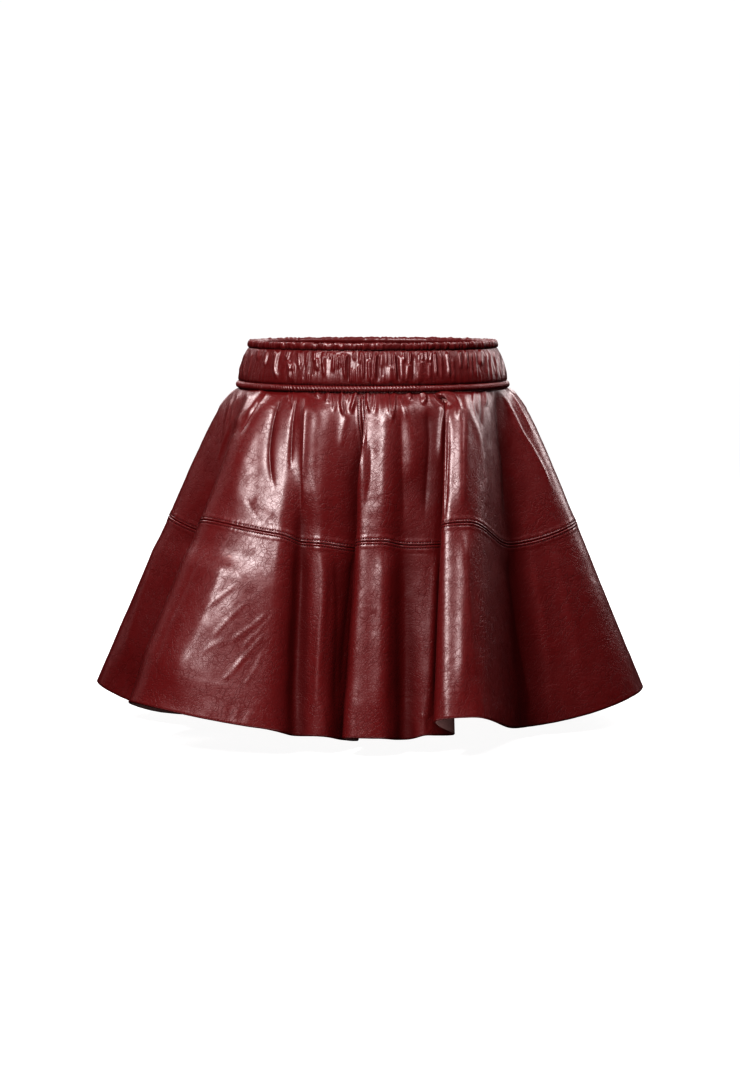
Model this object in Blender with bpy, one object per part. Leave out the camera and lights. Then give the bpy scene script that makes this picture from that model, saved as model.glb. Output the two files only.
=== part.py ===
"""Leather skirt: a ruched elastic waistband over two flared tiers of soft leather.

The skirt is worn-shaped and hollow.  Its cloth is a thin wall whose points all
come from two functions: the hem outline, a smooth closed curve through the
crest and the valley of each flare, and the fall of the cloth from the waist
seam to that outline.  The fall keeps the cut length of the cloth, so a crest,
which reaches further out, hangs less low than a valley.  Each panel that a
maker would cut is an object of its own.

Units are metres, +Z is up, the wearer's front faces -Y, and the origin is the
middle of the waistband, where the wearer holds the skirt up.
"""

import math
from collections import namedtuple

import bpy
import bmesh
import numpy as np

MM = 0.001

# ---- driving dimensions ---------------------------------------------------
SEAM_GAP = 0.3 * MM             # clearance between two sewn pieces
CLOTH_THICKNESS = 1.2 * MM

BAND_TOP = 24.0 * MM            # the waistband stands half above, half below the origin
CASING_FOOT = -17.0 * MM        # lower edge of the ruched casing
PIPING_FOOT = -23.7 * MM        # lower edge of the roll below it
BAND_FLATNESS = 36.5 * MM       # half width less half depth of the oval waist

WAIST_HALF_WIDTH = 137.0 * MM   # oval where the cloth leaves the band
WAIST_HALF_DEPTH = WAIST_HALF_WIDTH - BAND_FLATNESS
WAIST_SEAM_Z = -24.9 * MM

CLOTH_LENGTH = 339.0 * MM       # cut length from the waist seam to the hem
LAUNCH_FADE = 22.0 * MM         # how soon the cloth turns from the band into its fall

GATHERS = 56                    # gathers sewn in under the band
GATHER_HEIGHT = 2.6 * MM
GATHER_RISE = 5.0 * MM
GATHER_FADE = 27.0 * MM

RUCHES = 72                     # ridges of the elastic casing
RUCHE_HEIGHT = 2.6 * MM

SAMPLES_PER_FOLD = 40           # points along the hem outline from one fold to the next
LONGEST_HEM_STEP = 13.0 * MM    # hem spacing of two neighbouring columns
CLOSEST_HEM_STEP = 2.5 * MM
FALL_STEPS = 340                # steps that add up the fall of the cloth

UPPER_ROWS = (0.0, 0.04, 0.10, 0.22, 0.52, 1.0)    # shares of the upper tier's length
LOWER_ROWS = (0.0, 0.5, 1.0)

# ---- the folds ------------------------------------------------------------
# One row for the crest, edge or valley of each flare, anticlockwise seen from
# above, from the wearer's right side round the front.  waist: degrees round the
# waist oval; x, y: the fold's hem point in mm; heading: the hem's direction
# there in degrees; before, after: how far the curve keeps it, in mm; launch:
# degrees from straight down at which the cloth leaves the band; tier: cut
# length of the upper tier there, in mm.
Fold = namedtuple("Fold", "name waist x y heading before after launch tier")
FOLDS = [
    Fold("A_crest", 180, -285, -28, -86, 45, 44, 60, 152),
    Fold("AB_valley", 203, -166, -108, -75, 18, 20, 40, 152),
    Fold("B_lip", 217, -236, -165, -90, 34, 40, 62, 148),
    Fold("B_crest", 236, -108, -222, 3, 60, 26, 60, 151),
    Fold("BB_valley", 242, -72, -200, -12, 10, 10, 50, 153),
    Fold("BB_crest", 247, -48, -207, 10, 10, 14, 50, 154),
    Fold("BC_valley", 265, -15, -172, -90, 12, 12, 42, 154),
    Fold("C_lip", 268.5, -29, -210, -90, 14, 10, 40, 151),
    Fold("C_crest", 274, 4, -220, 6, 24, 14, 44, 150.5),
    Fold("CC_valley", 283, 31, -198, -4, 10, 9, 46, 153),
    Fold("CC_crest", 298, 52, -204, 20, 9, 9, 50, 156),
    Fold("CD_valley", 301, 77, -190, -90, 10, 12, 60, 154),
    Fold("D_lip", 303.5, 57, -232, -90, 16, 10, 86, 149),
    Fold("D_crest", 310, 92, -240, 18, 24, 34, 86, 149),
    Fold("DE_valley", 337, 158, -128, 30, 30, 26, 14, 158),
    Fold("E_crest", 360, 277, -34, 92, 84, 50, 62, 157),
    Fold("EF_valley", 379, 196, 60, 104, 26, 24, 46, 154),
    Fold("F_crest", 395, 234, 158, 126, 45, 46, 62, 151),
    Fold("FG_valley", 413, 124, 142, 140, 22, 22, 40, 153),
    Fold("G_crest", 429, 98, 236, 160, 42, 40, 64, 150),
    Fold("GH_valley", 445, 24, 160, 176, 20, 20, 42, 153),
    Fold("H_crest", 461, -42, 240, 186, 46, 44, 60, 151),
    Fold("HI_valley", 478, -96, 152, 208, 22, 24, 40, 154),
    Fold("I_crest", 494, -176, 206, 222, 44, 40, 62, 150),
    Fold("IJ_valley", 508, -170, 104, 236, 24, 24, 44, 153),
    Fold("J_crest", 523, -262, 84, 254, 38, 34, 60, 152),
    Fold("JA_valley", 532, -206, 28, 270, 18, 18, 46, 154),
]

# Upright seams, by degrees round the waist, and the panels between them.
RIGHT_SEAM = 172.0
FRONT_SEAM = 265.0
LEFT_SEAM = 366.0
BACK_SEAM = 450.0
Panel = namedtuple("Panel", "name start stop")
PANELS = [
    Panel("front_right", RIGHT_SEAM, FRONT_SEAM),
    Panel("front_left", FRONT_SEAM, LEFT_SEAM),
    Panel("back_left", LEFT_SEAM, BACK_SEAM),
    Panel("back_right", BACK_SEAM, RIGHT_SEAM + 360.0),
]

# Cross-section of the waistband, from its top edge down the outside and up the
# inside.  height and half_width in mm; ruche: share of the ruche height there.
BandRow = namedtuple("BandRow", "name height half_width ruche")
BAND_SECTION = [
    BandRow("header_edge", BAND_TOP / MM, 125.2, 0.3),
    BandRow("header_belly", 20.5, 128.0, 0.7),
    BandRow("groove", 16.5, 126.6, 0.1),
    BandRow("shoulder", 12.5, 133.0, 0.8),
    BandRow("belly", 3.0, 136.6, 1.0),
    BandRow("lower_belly", -9.0, 137.2, 1.0),
    BandRow("foot_outside", CASING_FOOT / MM, 134.8, 0.3),
    BandRow("foot_inside", CASING_FOOT / MM, 131.3, 0.0),
    BandRow("middle_inside", 2.0, 131.6, 0.0),
    BandRow("groove_inside", 16.5, 123.8, 0.0),
    BandRow("header_inside", BAND_TOP / MM, 122.6, 0.0),
]
RUCHE_COLUMNS = 3               # columns for each ruche of the band

# Cross-section of the roll under the casing, in mm.
RollRow = namedtuple("RollRow", "name height half_width")
ROLL_SECTION = [
    RollRow("top_outside", CASING_FOOT / MM - SEAM_GAP / MM, 137.9),
    RollRow("belly", -20.2, 139.6),
    RollRow("low_outside", -23.1, 138.6),
    RollRow("foot_outside", PIPING_FOOT / MM, 136.9),
    RollRow("foot_inside", PIPING_FOOT / MM, 133.6),
    RollRow("top_inside", CASING_FOOT / MM - SEAM_GAP / MM, 133.3),
]
ROLL_COLUMNS = 96

# ---- leather colours (linear) --------------------------------------------
BURGUNDY = (0.105, 0.012, 0.015)
DEEP_BURGUNDY = (0.080, 0.009, 0.012)
LEATHER_ROUGHNESS = 0.36


# ---- the hem outline ------------------------------------------------------
def heading_vector(degrees):
    """Unit vector in plan for a heading, 0 along +X and 90 along +Y."""
    angle = math.radians(degrees)
    return np.array([math.cos(angle), math.sin(angle)])


def fold_stretch(fold, following):
    """Hem points, in metres, from one fold up to the next, as a cubic Bezier."""
    start = np.array([fold.x, fold.y])
    stop = np.array([following.x, following.y])
    leave = start + fold.after * heading_vector(fold.heading)
    arrive = stop - following.before * heading_vector(following.heading)
    t = np.linspace(0.0, 1.0, SAMPLES_PER_FOLD, endpoint=False)[:, None]
    curve = (1 - t) ** 3 * start + 3 * (1 - t) ** 2 * t * leave
    curve += 3 * (1 - t) * t ** 2 * arrive + t ** 3 * stop
    return curve * MM


def smooth_steps(at, knots, values):
    """Monotone cubic through (knots, values) whose slopes repeat from end to end."""
    count = len(knots) - 1
    widths = np.diff(knots)
    rises = np.diff(values) / widths
    slopes = np.zeros(count + 1)
    for k in range(count + 1):
        left = rises[(k - 1) % count]
        right = rises[k % count]
        if left * right > 0:
            slopes[k] = 2 * left * right / (left + right)
    cell = np.clip(np.searchsorted(knots, at, side="right") - 1, 0, count - 1)
    t = (at - knots[cell]) / widths[cell]
    start = (2 * t ** 3 - 3 * t ** 2 + 1) * values[cell]
    start += (t ** 3 - 2 * t ** 2 + t) * widths[cell] * slopes[cell]
    stop = (3 * t ** 2 - 2 * t ** 3) * values[cell + 1]
    stop += (t ** 3 - t ** 2) * widths[cell] * slopes[cell + 1]
    return start + stop


class HemOutline:
    """The closed hem curve, read by the distance along it from the first fold."""

    def __init__(self, folds):
        stretches = []
        for index, fold in enumerate(folds):
            stretches.append(fold_stretch(fold, folds[(index + 1) % len(folds)]))
        points = np.concatenate(stretches)
        self.points = np.vstack([points, points[:1]])
        steps = np.linalg.norm(np.diff(self.points, axis=0), axis=1)
        self.distance = np.concatenate([[0.0], np.cumsum(steps)])
        self.length = self.distance[-1]
        self.knots = self.distance[::SAMPLES_PER_FOLD]
        first = folds[0]
        self.waists = np.array([fold.waist for fold in folds] + [first.waist + 360.0])
        self.launches = np.array([fold.launch for fold in folds] + [first.launch], float)
        self.tiers = np.array([fold.tier for fold in folds] + [first.tier], float)

    def point(self, distance):
        """Plan points of the hem."""
        x = np.interp(distance, self.distance, self.points[:, 0])
        y = np.interp(distance, self.distance, self.points[:, 1])
        return np.stack([x, y], axis=1)

    def waist(self, distance):
        """Degrees round the waist oval that the cloth hangs from."""
        return smooth_steps(distance, self.knots, self.waists)

    def launch(self, distance):
        """Angle from straight down, in radians, at which the cloth leaves the band."""
        return np.radians(smooth_steps(distance, self.knots, self.launches))

    def tier(self, distance):
        """Cut length of the upper tier, in metres."""
        return smooth_steps(distance, self.knots, self.tiers) * MM

    def distance_of_waist(self, degrees):
        """Distance along the hem of the cloth that hangs from a place on the waist."""
        start = self.waists[0]
        wrapped = (np.asarray(degrees, float) - start) % 360.0 + start
        grid = np.linspace(0.0, self.length, 8 * len(self.distance))
        return np.interp(wrapped, self.waist(grid), grid)


# ---- gathers and ruches ---------------------------------------------------
def gather_phase(azimuth):
    """Count of gathers passed, uneven in pitch, at an angle in radians."""
    even = GATHERS * azimuth / math.tau
    return even + 0.40 * np.sin(5 * azimuth + 0.4) + 0.22 * np.sin(13 * azimuth + 1.9)


def gather_lift(azimuth, down):
    """How far a gather stands out of the cloth, `down` metres below the seam."""
    wave = 0.5 + 0.5 * np.cos(math.tau * gather_phase(azimuth))
    strength = 1.0 + 0.30 * np.sin(9 * azimuth + 2.0) + 0.20 * np.sin(17 * azimuth)
    fade = GATHER_FADE * (1.0 + 0.35 * np.sin(4 * azimuth + 1.0))
    rise = 1.0 - np.exp(-((down / GATHER_RISE) ** 2))
    return GATHER_HEIGHT * strength * rise * np.exp(-down / fade) * (wave ** 1.3 - 0.35)


def gather_azimuths():
    """Angles in degrees of each gather's crest, flanks and valley."""
    grid = np.linspace(0.0, math.tau, 6000)
    quarters = np.arange(4 * GATHERS) / 4.0 + gather_phase(0.0)
    return np.degrees(np.interp(quarters, gather_phase(grid), grid))


def ruche_phase(azimuth):
    """Count of ruches passed on the band, uneven in pitch."""
    even = RUCHES * azimuth / math.tau
    return even + 0.30 * np.sin(7 * azimuth + 1.1) + 0.20 * np.sin(19 * azimuth + 0.3)


def ruche_lift(azimuth):
    """Height of the band's ruches, as a share of the tallest."""
    wave = 0.5 + 0.5 * np.cos(math.tau * ruche_phase(azimuth))
    return wave * (0.8 + 0.2 * np.sin(11 * azimuth + 0.7))


# ---- the fall of the cloth ------------------------------------------------
def fall_of_cloth(outline, distances, downs):
    """Middle surface of the cloth, as columns, rows and x, y, z.

    downs holds each column's rows, in metres below the waist seam.
    """
    angles = np.radians(outline.waist(distances))
    waist = np.stack([WAIST_HALF_WIDTH * np.cos(angles), WAIST_HALF_DEPTH * np.sin(angles)], axis=1)
    reach = outline.point(distances) - waist
    width = np.linalg.norm(reach, axis=1)
    outward = reach / width[:, None]
    launch = outline.launch(distances)

    along = np.linspace(0.0, CLOTH_LENGTH, FALL_STEPS)
    step = along[1]
    turn = np.exp(-along / LAUNCH_FADE)

    def run_and_drop(final):
        """Level run and drop along each column for its final angle."""
        angle = final[:, None] + (launch - final)[:, None] * turn[None, :]
        run = np.zeros_like(angle)
        drop = np.zeros_like(angle)
        run[:, 1:] = np.cumsum((np.sin(angle[:, 1:]) + np.sin(angle[:, :-1])) * step / 2, axis=1)
        drop[:, 1:] = np.cumsum((np.cos(angle[:, 1:]) + np.cos(angle[:, :-1])) * step / 2, axis=1)
        return run, drop

    low = np.full(len(distances), -0.5)
    high = np.full(len(distances), 1.3)
    for _ in range(36):
        middle = (low + high) / 2
        too_far = run_and_drop(middle)[0][:, -1] > width
        high = np.where(too_far, middle, high)
        low = np.where(too_far, low, middle)
    run, drop = run_and_drop((low + high) / 2)

    surface = np.zeros((*downs.shape, 3))
    for column in range(len(distances)):
        runs = np.interp(downs[column], along, run[column])
        surface[column, :, 0] = waist[column, 0] + outward[column, 0] * runs
        surface[column, :, 1] = waist[column, 1] + outward[column, 1] * runs
        surface[column, :, 2] = WAIST_SEAM_Z - np.interp(downs[column], along, drop[column])
    return surface


def ring_tangents(surface):
    """Unit vectors along the hem direction at each point of a closed ring of columns."""
    tangents = np.roll(surface, -1, axis=0) - np.roll(surface, 1, axis=0)
    return tangents / np.linalg.norm(tangents, axis=2, keepdims=True)


def outward_normals(surface):
    """Unit normals that point out of the skirt."""
    down = np.gradient(surface, axis=1)
    normals = np.cross(down, ring_tangents(surface))
    return normals / np.linalg.norm(normals, axis=2, keepdims=True)


def column_distances(outline):
    """Hem distances of all columns: seams, folds, gathers, and more where the hem runs long."""
    marks = [float(outline.distance_of_waist(panel.start)) for panel in PANELS]
    for distance in [*outline.knots[:-1], *outline.distance_of_waist(gather_azimuths())]:
        if all(abs(distance - mark) > CLOSEST_HEM_STEP for mark in marks):
            marks.append(float(distance))
    marks.sort()
    columns = []
    for index, mark in enumerate(marks):
        following = marks[(index + 1) % len(marks)]
        span = (following - mark) % outline.length
        parts = math.ceil(span / LONGEST_HEM_STEP)
        for part in range(parts):
            columns.append((mark + span * part / parts) % outline.length)
    return np.array(sorted(columns))


# ---- meshes ---------------------------------------------------------------
def leather(name, colour):
    """A plain leather finish."""
    material = bpy.data.materials.new(name)
    material.use_nodes = True
    shader = material.node_tree.nodes["Principled BSDF"]
    shader.inputs["Base Color"].default_value = (*colour, 1.0)
    shader.inputs["Roughness"].default_value = LEATHER_ROUGHNESS
    shader.inputs["Metallic"].default_value = 0.0
    return material


def add_object(name, mesh_data, colour, parent):
    """Turn a bmesh into a smooth named object under the skirt's empty."""
    mesh = bpy.data.meshes.new(name)
    mesh_data.to_mesh(mesh)
    mesh_data.free()
    mesh.shade_smooth()
    mesh.set_sharp_from_angle(angle=math.radians(55))
    mesh.materials.append(leather(name + "_leather", colour))
    piece = bpy.data.objects.new(name, mesh)
    piece.parent = parent
    bpy.context.collection.objects.link(piece)
    return piece


def loft_closed_ring(sections):
    """Join closed sections, each a list of points, into a closed ring."""
    mesh_data = bmesh.new()
    rings = [[mesh_data.verts.new(point) for point in section] for section in sections]
    for index, ring in enumerate(rings):
        following = rings[(index + 1) % len(rings)]
        for row in range(len(ring)):
            below = (row + 1) % len(ring)
            mesh_data.faces.new((ring[row], ring[below], following[below], following[row]))
    return mesh_data


def wall_panel(outside, inside):
    """A closed cloth wall between two grids of columns and rows."""
    mesh_data = bmesh.new()
    outer = [[mesh_data.verts.new(point) for point in column] for column in outside]
    inner = [[mesh_data.verts.new(point) for point in column] for column in inside]
    last_column = len(outer) - 1
    last_row = len(outer[0]) - 1
    for c in range(last_column):
        for r in range(last_row):
            mesh_data.faces.new((outer[c][r], outer[c][r + 1], outer[c + 1][r + 1], outer[c + 1][r]))
            mesh_data.faces.new((inner[c][r], inner[c + 1][r], inner[c + 1][r + 1], inner[c][r + 1]))
        mesh_data.faces.new((inner[c][0], outer[c][0], outer[c + 1][0], inner[c + 1][0]))
        mesh_data.faces.new(
            (outer[c][last_row], inner[c][last_row], inner[c + 1][last_row], outer[c + 1][last_row])
        )
    for r in range(last_row):
        # Both side edges split along the same diagonal, so two sewn edges stay parallel.
        near, far = inner[0], outer[0]
        mesh_data.faces.new((near[r], near[r + 1], far[r + 1]))
        mesh_data.faces.new((near[r], far[r + 1], far[r]))
        near, far = inner[last_column], outer[last_column]
        mesh_data.faces.new((near[r], far[r + 1], near[r + 1]))
        mesh_data.faces.new((near[r], far[r], far[r + 1]))
    return mesh_data


def oval_point(azimuth, half_width, height, lift=0.0):
    """A point of the waist's oval at an angle in radians, moved out by `lift`."""
    half_depth = half_width - BAND_FLATNESS
    x = half_width * math.cos(azimuth)
    y = half_depth * math.sin(azimuth)
    out = np.array([half_depth * math.cos(azimuth), half_width * math.sin(azimuth)])
    out /= np.linalg.norm(out)
    return (x + lift * out[0], y + lift * out[1], height)


# ---- the pieces -----------------------------------------------------------
def build_waistband(parent):
    """The elastic casing and its header, ruched outside and plain inside."""
    sections = []
    for index in range(RUCHE_COLUMNS * RUCHES):
        azimuth = math.tau * index / (RUCHE_COLUMNS * RUCHES)
        lift = RUCHE_HEIGHT * float(ruche_lift(azimuth))
        section = []
        for row in BAND_SECTION:
            section.append(oval_point(azimuth, row.half_width * MM, row.height * MM, lift * row.ruche))
        sections.append(section)
    add_object("waistband", loft_closed_ring(sections), BURGUNDY, parent)


def build_waist_roll(parent):
    """The narrow stitched roll between the casing and the cloth."""
    sections = []
    for index in range(ROLL_COLUMNS):
        azimuth = math.tau * index / ROLL_COLUMNS
        section = []
        for row in ROLL_SECTION:
            section.append(oval_point(azimuth, row.half_width * MM, row.height * MM))
        sections.append(section)
    add_object("waist_roll", loft_closed_ring(sections), DEEP_BURGUNDY, parent)


def build_tier(tier, distances, downs, colour, outline, parent):
    """The four panels of one tier, from columns at hem distances and each one's rows."""
    azimuths = np.radians(outline.waist(distances))
    surface = fall_of_cloth(outline, distances, downs)
    lift = gather_lift(azimuths[:, None], downs)
    surface = surface + outward_normals(surface) * lift[:, :, None]
    half_wall = outward_normals(surface) * CLOTH_THICKNESS / 2
    side_step = ring_tangents(surface) * SEAM_GAP / 2
    count = len(distances)
    for panel in PANELS:
        start = int(np.argmin(abs(distances - outline.distance_of_waist(panel.start))))
        stop = int(np.argmin(abs(distances - outline.distance_of_waist(panel.stop))))
        columns = [(start + k) % count for k in range((stop - start) % count + 1)]
        shift = np.zeros((len(columns), downs.shape[1], 3))
        shift[0] = side_step[start]
        shift[-1] = -side_step[stop]
        middle = surface[columns] + shift
        mesh_data = wall_panel(middle + half_wall[columns], middle - half_wall[columns])
        add_object(tier + "_" + panel.name, mesh_data, colour, parent)


def build_skirt():
    """Every piece of the skirt under one empty."""
    parent = bpy.data.objects.new("skirt", None)
    bpy.context.collection.objects.link(parent)
    outline = HemOutline(FOLDS)
    distances = column_distances(outline)
    tiers = outline.tier(distances)[:, None]
    upper_downs = (tiers - SEAM_GAP / 2) * np.array([UPPER_ROWS])
    lower_top = tiers + SEAM_GAP / 2
    lower_downs = lower_top + (CLOTH_LENGTH - lower_top) * np.array([LOWER_ROWS])
    build_waistband(parent)
    build_waist_roll(parent)
    build_tier("upper", distances, upper_downs, BURGUNDY, outline, parent)
    build_tier("lower", distances, lower_downs, DEEP_BURGUNDY, outline, parent)


for old in list(bpy.data.objects):
    bpy.data.objects.remove(old, do_unlink=True)
build_skirt()
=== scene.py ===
"""The looks of a leather skirt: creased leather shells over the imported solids,
a ruched band with its puckered roll, stitching, and a studio stage.

Sizes are in millimetres, and are scaled to metres when a mesh is made.  The
skirt hangs with +Z up, its front faces -Y and its waist is at the origin.
"""
import math
from collections import namedtuple

import bpy
import numpy as np
from bpy.props import FloatProperty, FloatVectorProperty, PointerProperty
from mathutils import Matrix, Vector


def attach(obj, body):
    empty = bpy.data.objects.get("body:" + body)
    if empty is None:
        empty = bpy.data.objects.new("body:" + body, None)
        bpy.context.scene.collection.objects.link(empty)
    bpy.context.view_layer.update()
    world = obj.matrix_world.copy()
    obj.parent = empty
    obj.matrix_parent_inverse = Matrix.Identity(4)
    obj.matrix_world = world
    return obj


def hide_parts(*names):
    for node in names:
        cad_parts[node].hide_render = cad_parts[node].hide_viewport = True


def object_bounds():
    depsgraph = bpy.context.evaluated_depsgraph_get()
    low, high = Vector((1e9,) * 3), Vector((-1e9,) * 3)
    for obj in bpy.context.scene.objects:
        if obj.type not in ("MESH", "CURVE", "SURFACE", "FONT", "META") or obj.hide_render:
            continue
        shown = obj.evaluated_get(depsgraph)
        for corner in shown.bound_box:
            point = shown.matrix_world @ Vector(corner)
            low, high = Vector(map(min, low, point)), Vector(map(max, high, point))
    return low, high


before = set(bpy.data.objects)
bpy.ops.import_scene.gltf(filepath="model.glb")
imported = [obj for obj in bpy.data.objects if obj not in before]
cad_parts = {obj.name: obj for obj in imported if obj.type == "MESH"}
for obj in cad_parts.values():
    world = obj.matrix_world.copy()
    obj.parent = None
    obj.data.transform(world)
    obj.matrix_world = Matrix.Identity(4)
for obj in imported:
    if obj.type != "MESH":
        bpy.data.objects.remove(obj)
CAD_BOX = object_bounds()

bl_info = {
    "name": "Leather skirt",
    "version": (1, 0, 0),
    "blender": (4, 5, 0),
    "location": "3D View > Sidebar > Skirt",
    "description": "Builds a gathered two-tier leather skirt round its packed solids",
    "category": "Object",
}

MM = 0.001
TURN = 360.0

# ---- the cut, as the solids have it ---------------------------------------
SEAM_GAP = 0.04                 # between two sewn pieces
WAIST_HALF_WIDTH = 137.0        # oval where the cloth leaves the band
WAIST_HALF_DEPTH = 100.5
BAND_FLATNESS = WAIST_HALF_WIDTH - WAIST_HALF_DEPTH
RING_ARC = math.pi * (WAIST_HALF_WIDTH + WAIST_HALF_DEPTH)      # length round the waist
WAIST_SEAM_Z = -24.9
CLOTH_LENGTH = 339.0            # cut length from the waist seam to the hem
LAUNCH_FADE = 22.0              # how soon the cloth turns from the band into its fall
FALL_STEPS = 340
FALL_ANGLES = (-0.5, 1.3)       # least and most final angle from straight down, in radians
FALL_HALVINGS = 30              # bisections that find the final angle
SAMPLES_PER_FOLD = 40

# The flares are lettered from the wearer's right side round the front, with
# doubled letters for the small ones between.  One row for the crest, edge or
# valley of each, anticlockwise seen from above.  waist: degrees round the waist
# oval; x, y: the fold's hem point; heading: the hem's direction there in degrees;
# before, after: how far the curve keeps it; launch: degrees from straight down at
# which the cloth leaves the band; tier: cut length of the upper tier there.
Fold = namedtuple("Fold", "name waist x y heading before after launch tier")
FOLDS = [
    Fold("A_crest", 180, -285, -28, -86, 45, 44, 60, 152),
    Fold("AB_valley", 203, -166, -108, -75, 18, 20, 40, 152),
    Fold("B_lip", 217, -236, -165, -90, 34, 40, 62, 148),
    Fold("B_crest", 236, -108, -222, 3, 60, 26, 60, 151),
    Fold("BB_valley", 242, -72, -200, -12, 10, 10, 50, 153),
    Fold("BB_crest", 247, -48, -207, 10, 10, 14, 50, 154),
    Fold("BC_valley", 265, -15, -172, -90, 12, 12, 42, 154),
    Fold("C_lip", 268.5, -29, -210, -90, 14, 10, 40, 151),
    Fold("C_crest", 274, 4, -220, 6, 24, 14, 44, 150.5),
    Fold("CC_valley", 283, 31, -198, -4, 10, 9, 46, 153),
    Fold("CC_crest", 298, 52, -204, 20, 9, 9, 50, 156),
    Fold("CD_valley", 301, 77, -190, -90, 10, 12, 60, 154),
    Fold("D_lip", 303.5, 57, -232, -90, 16, 10, 86, 149),
    Fold("D_crest", 310, 92, -240, 18, 24, 34, 86, 149),
    Fold("DE_valley", 337, 158, -128, 30, 30, 26, 14, 158),
    Fold("E_crest", 360, 277, -34, 92, 84, 50, 62, 157),
    Fold("EF_valley", 379, 196, 60, 104, 26, 24, 46, 154),
    Fold("F_crest", 395, 234, 158, 126, 45, 46, 62, 151),
    Fold("FG_valley", 413, 124, 142, 140, 22, 22, 40, 153),
    Fold("G_crest", 429, 98, 236, 160, 42, 40, 64, 150),
    Fold("GH_valley", 445, 24, 160, 176, 20, 20, 42, 153),
    Fold("H_crest", 461, -42, 240, 186, 46, 44, 60, 151),
    Fold("HI_valley", 478, -96, 152, 208, 22, 24, 40, 154),
    Fold("I_crest", 494, -176, 206, 222, 44, 40, 62, 150),
    Fold("IJ_valley", 508, -170, 104, 236, 24, 24, 44, 153),
    Fold("J_crest", 523, -262, 84, 254, 38, 34, 60, 152),
    Fold("JA_valley", 532, -206, 28, 270, 18, 18, 46, 154),
]

# The panels' seams, in degrees round the waist.
RIGHT_SEAM = 172.0
FRONT_SEAM = 265.0
LEFT_SEAM = 366.0
BACK_SEAM = 450.0
UPRIGHT_SEAMS = (RIGHT_SEAM, FRONT_SEAM, LEFT_SEAM, BACK_SEAM)
Panel = namedtuple("Panel", "name start stop hem_step waist_step")
PANELS = [
    Panel("front_right", RIGHT_SEAM, FRONT_SEAM, 1.9, 0.75),
    Panel("front_left", FRONT_SEAM, LEFT_SEAM, 1.9, 0.75),
    Panel("back_left", LEFT_SEAM, BACK_SEAM, 2.9, 1.1),
    Panel("back_right", BACK_SEAM, RIGHT_SEAM + TURN, 2.9, 1.1),
]

# Rows of points down each tier: where a stretch of even rows starts and stops,
# as shares of the tier's length, and how many rows it has.
Rows = namedtuple("Rows", "start stop count")
TIER_ROWS = {
    "upper": [
        Rows(0.0, 0.22, 38),
        Rows(0.22, 0.93, 50),
        Rows(0.93, 1.0, 16),
    ],
    "lower": [
        Rows(0.0, 0.055, 14),
        Rows(0.055, 0.77, 52),
        Rows(0.77, 0.815, 6),
        Rows(0.815, 1.0, 22),
    ],
}
INNER_ROWS = 16                 # rows down the inside of a panel
LOWER_WAIST_STEP = 5.0          # widest step round the waist of the lower tier's columns
SIDE_MARGIN = 0.5               # hem distance of the extra column past each side of a panel

# ---- where the front is looked at from ------------------------------------
# The creases below are placed as seen from here: across is to the right of the
# middle of the view and down is below the waist seam, both at real size.
VIEWPOINT = Vector((-2.8, -2060.0, 98.0))
VIEW_PITCH = math.radians(7.6)
VIEW_DISTANCE = 2060.0
SEEN_WAIST = 152.4              # the waist seam shows this far above the middle of the view
LENS_MM = 67.4

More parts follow.
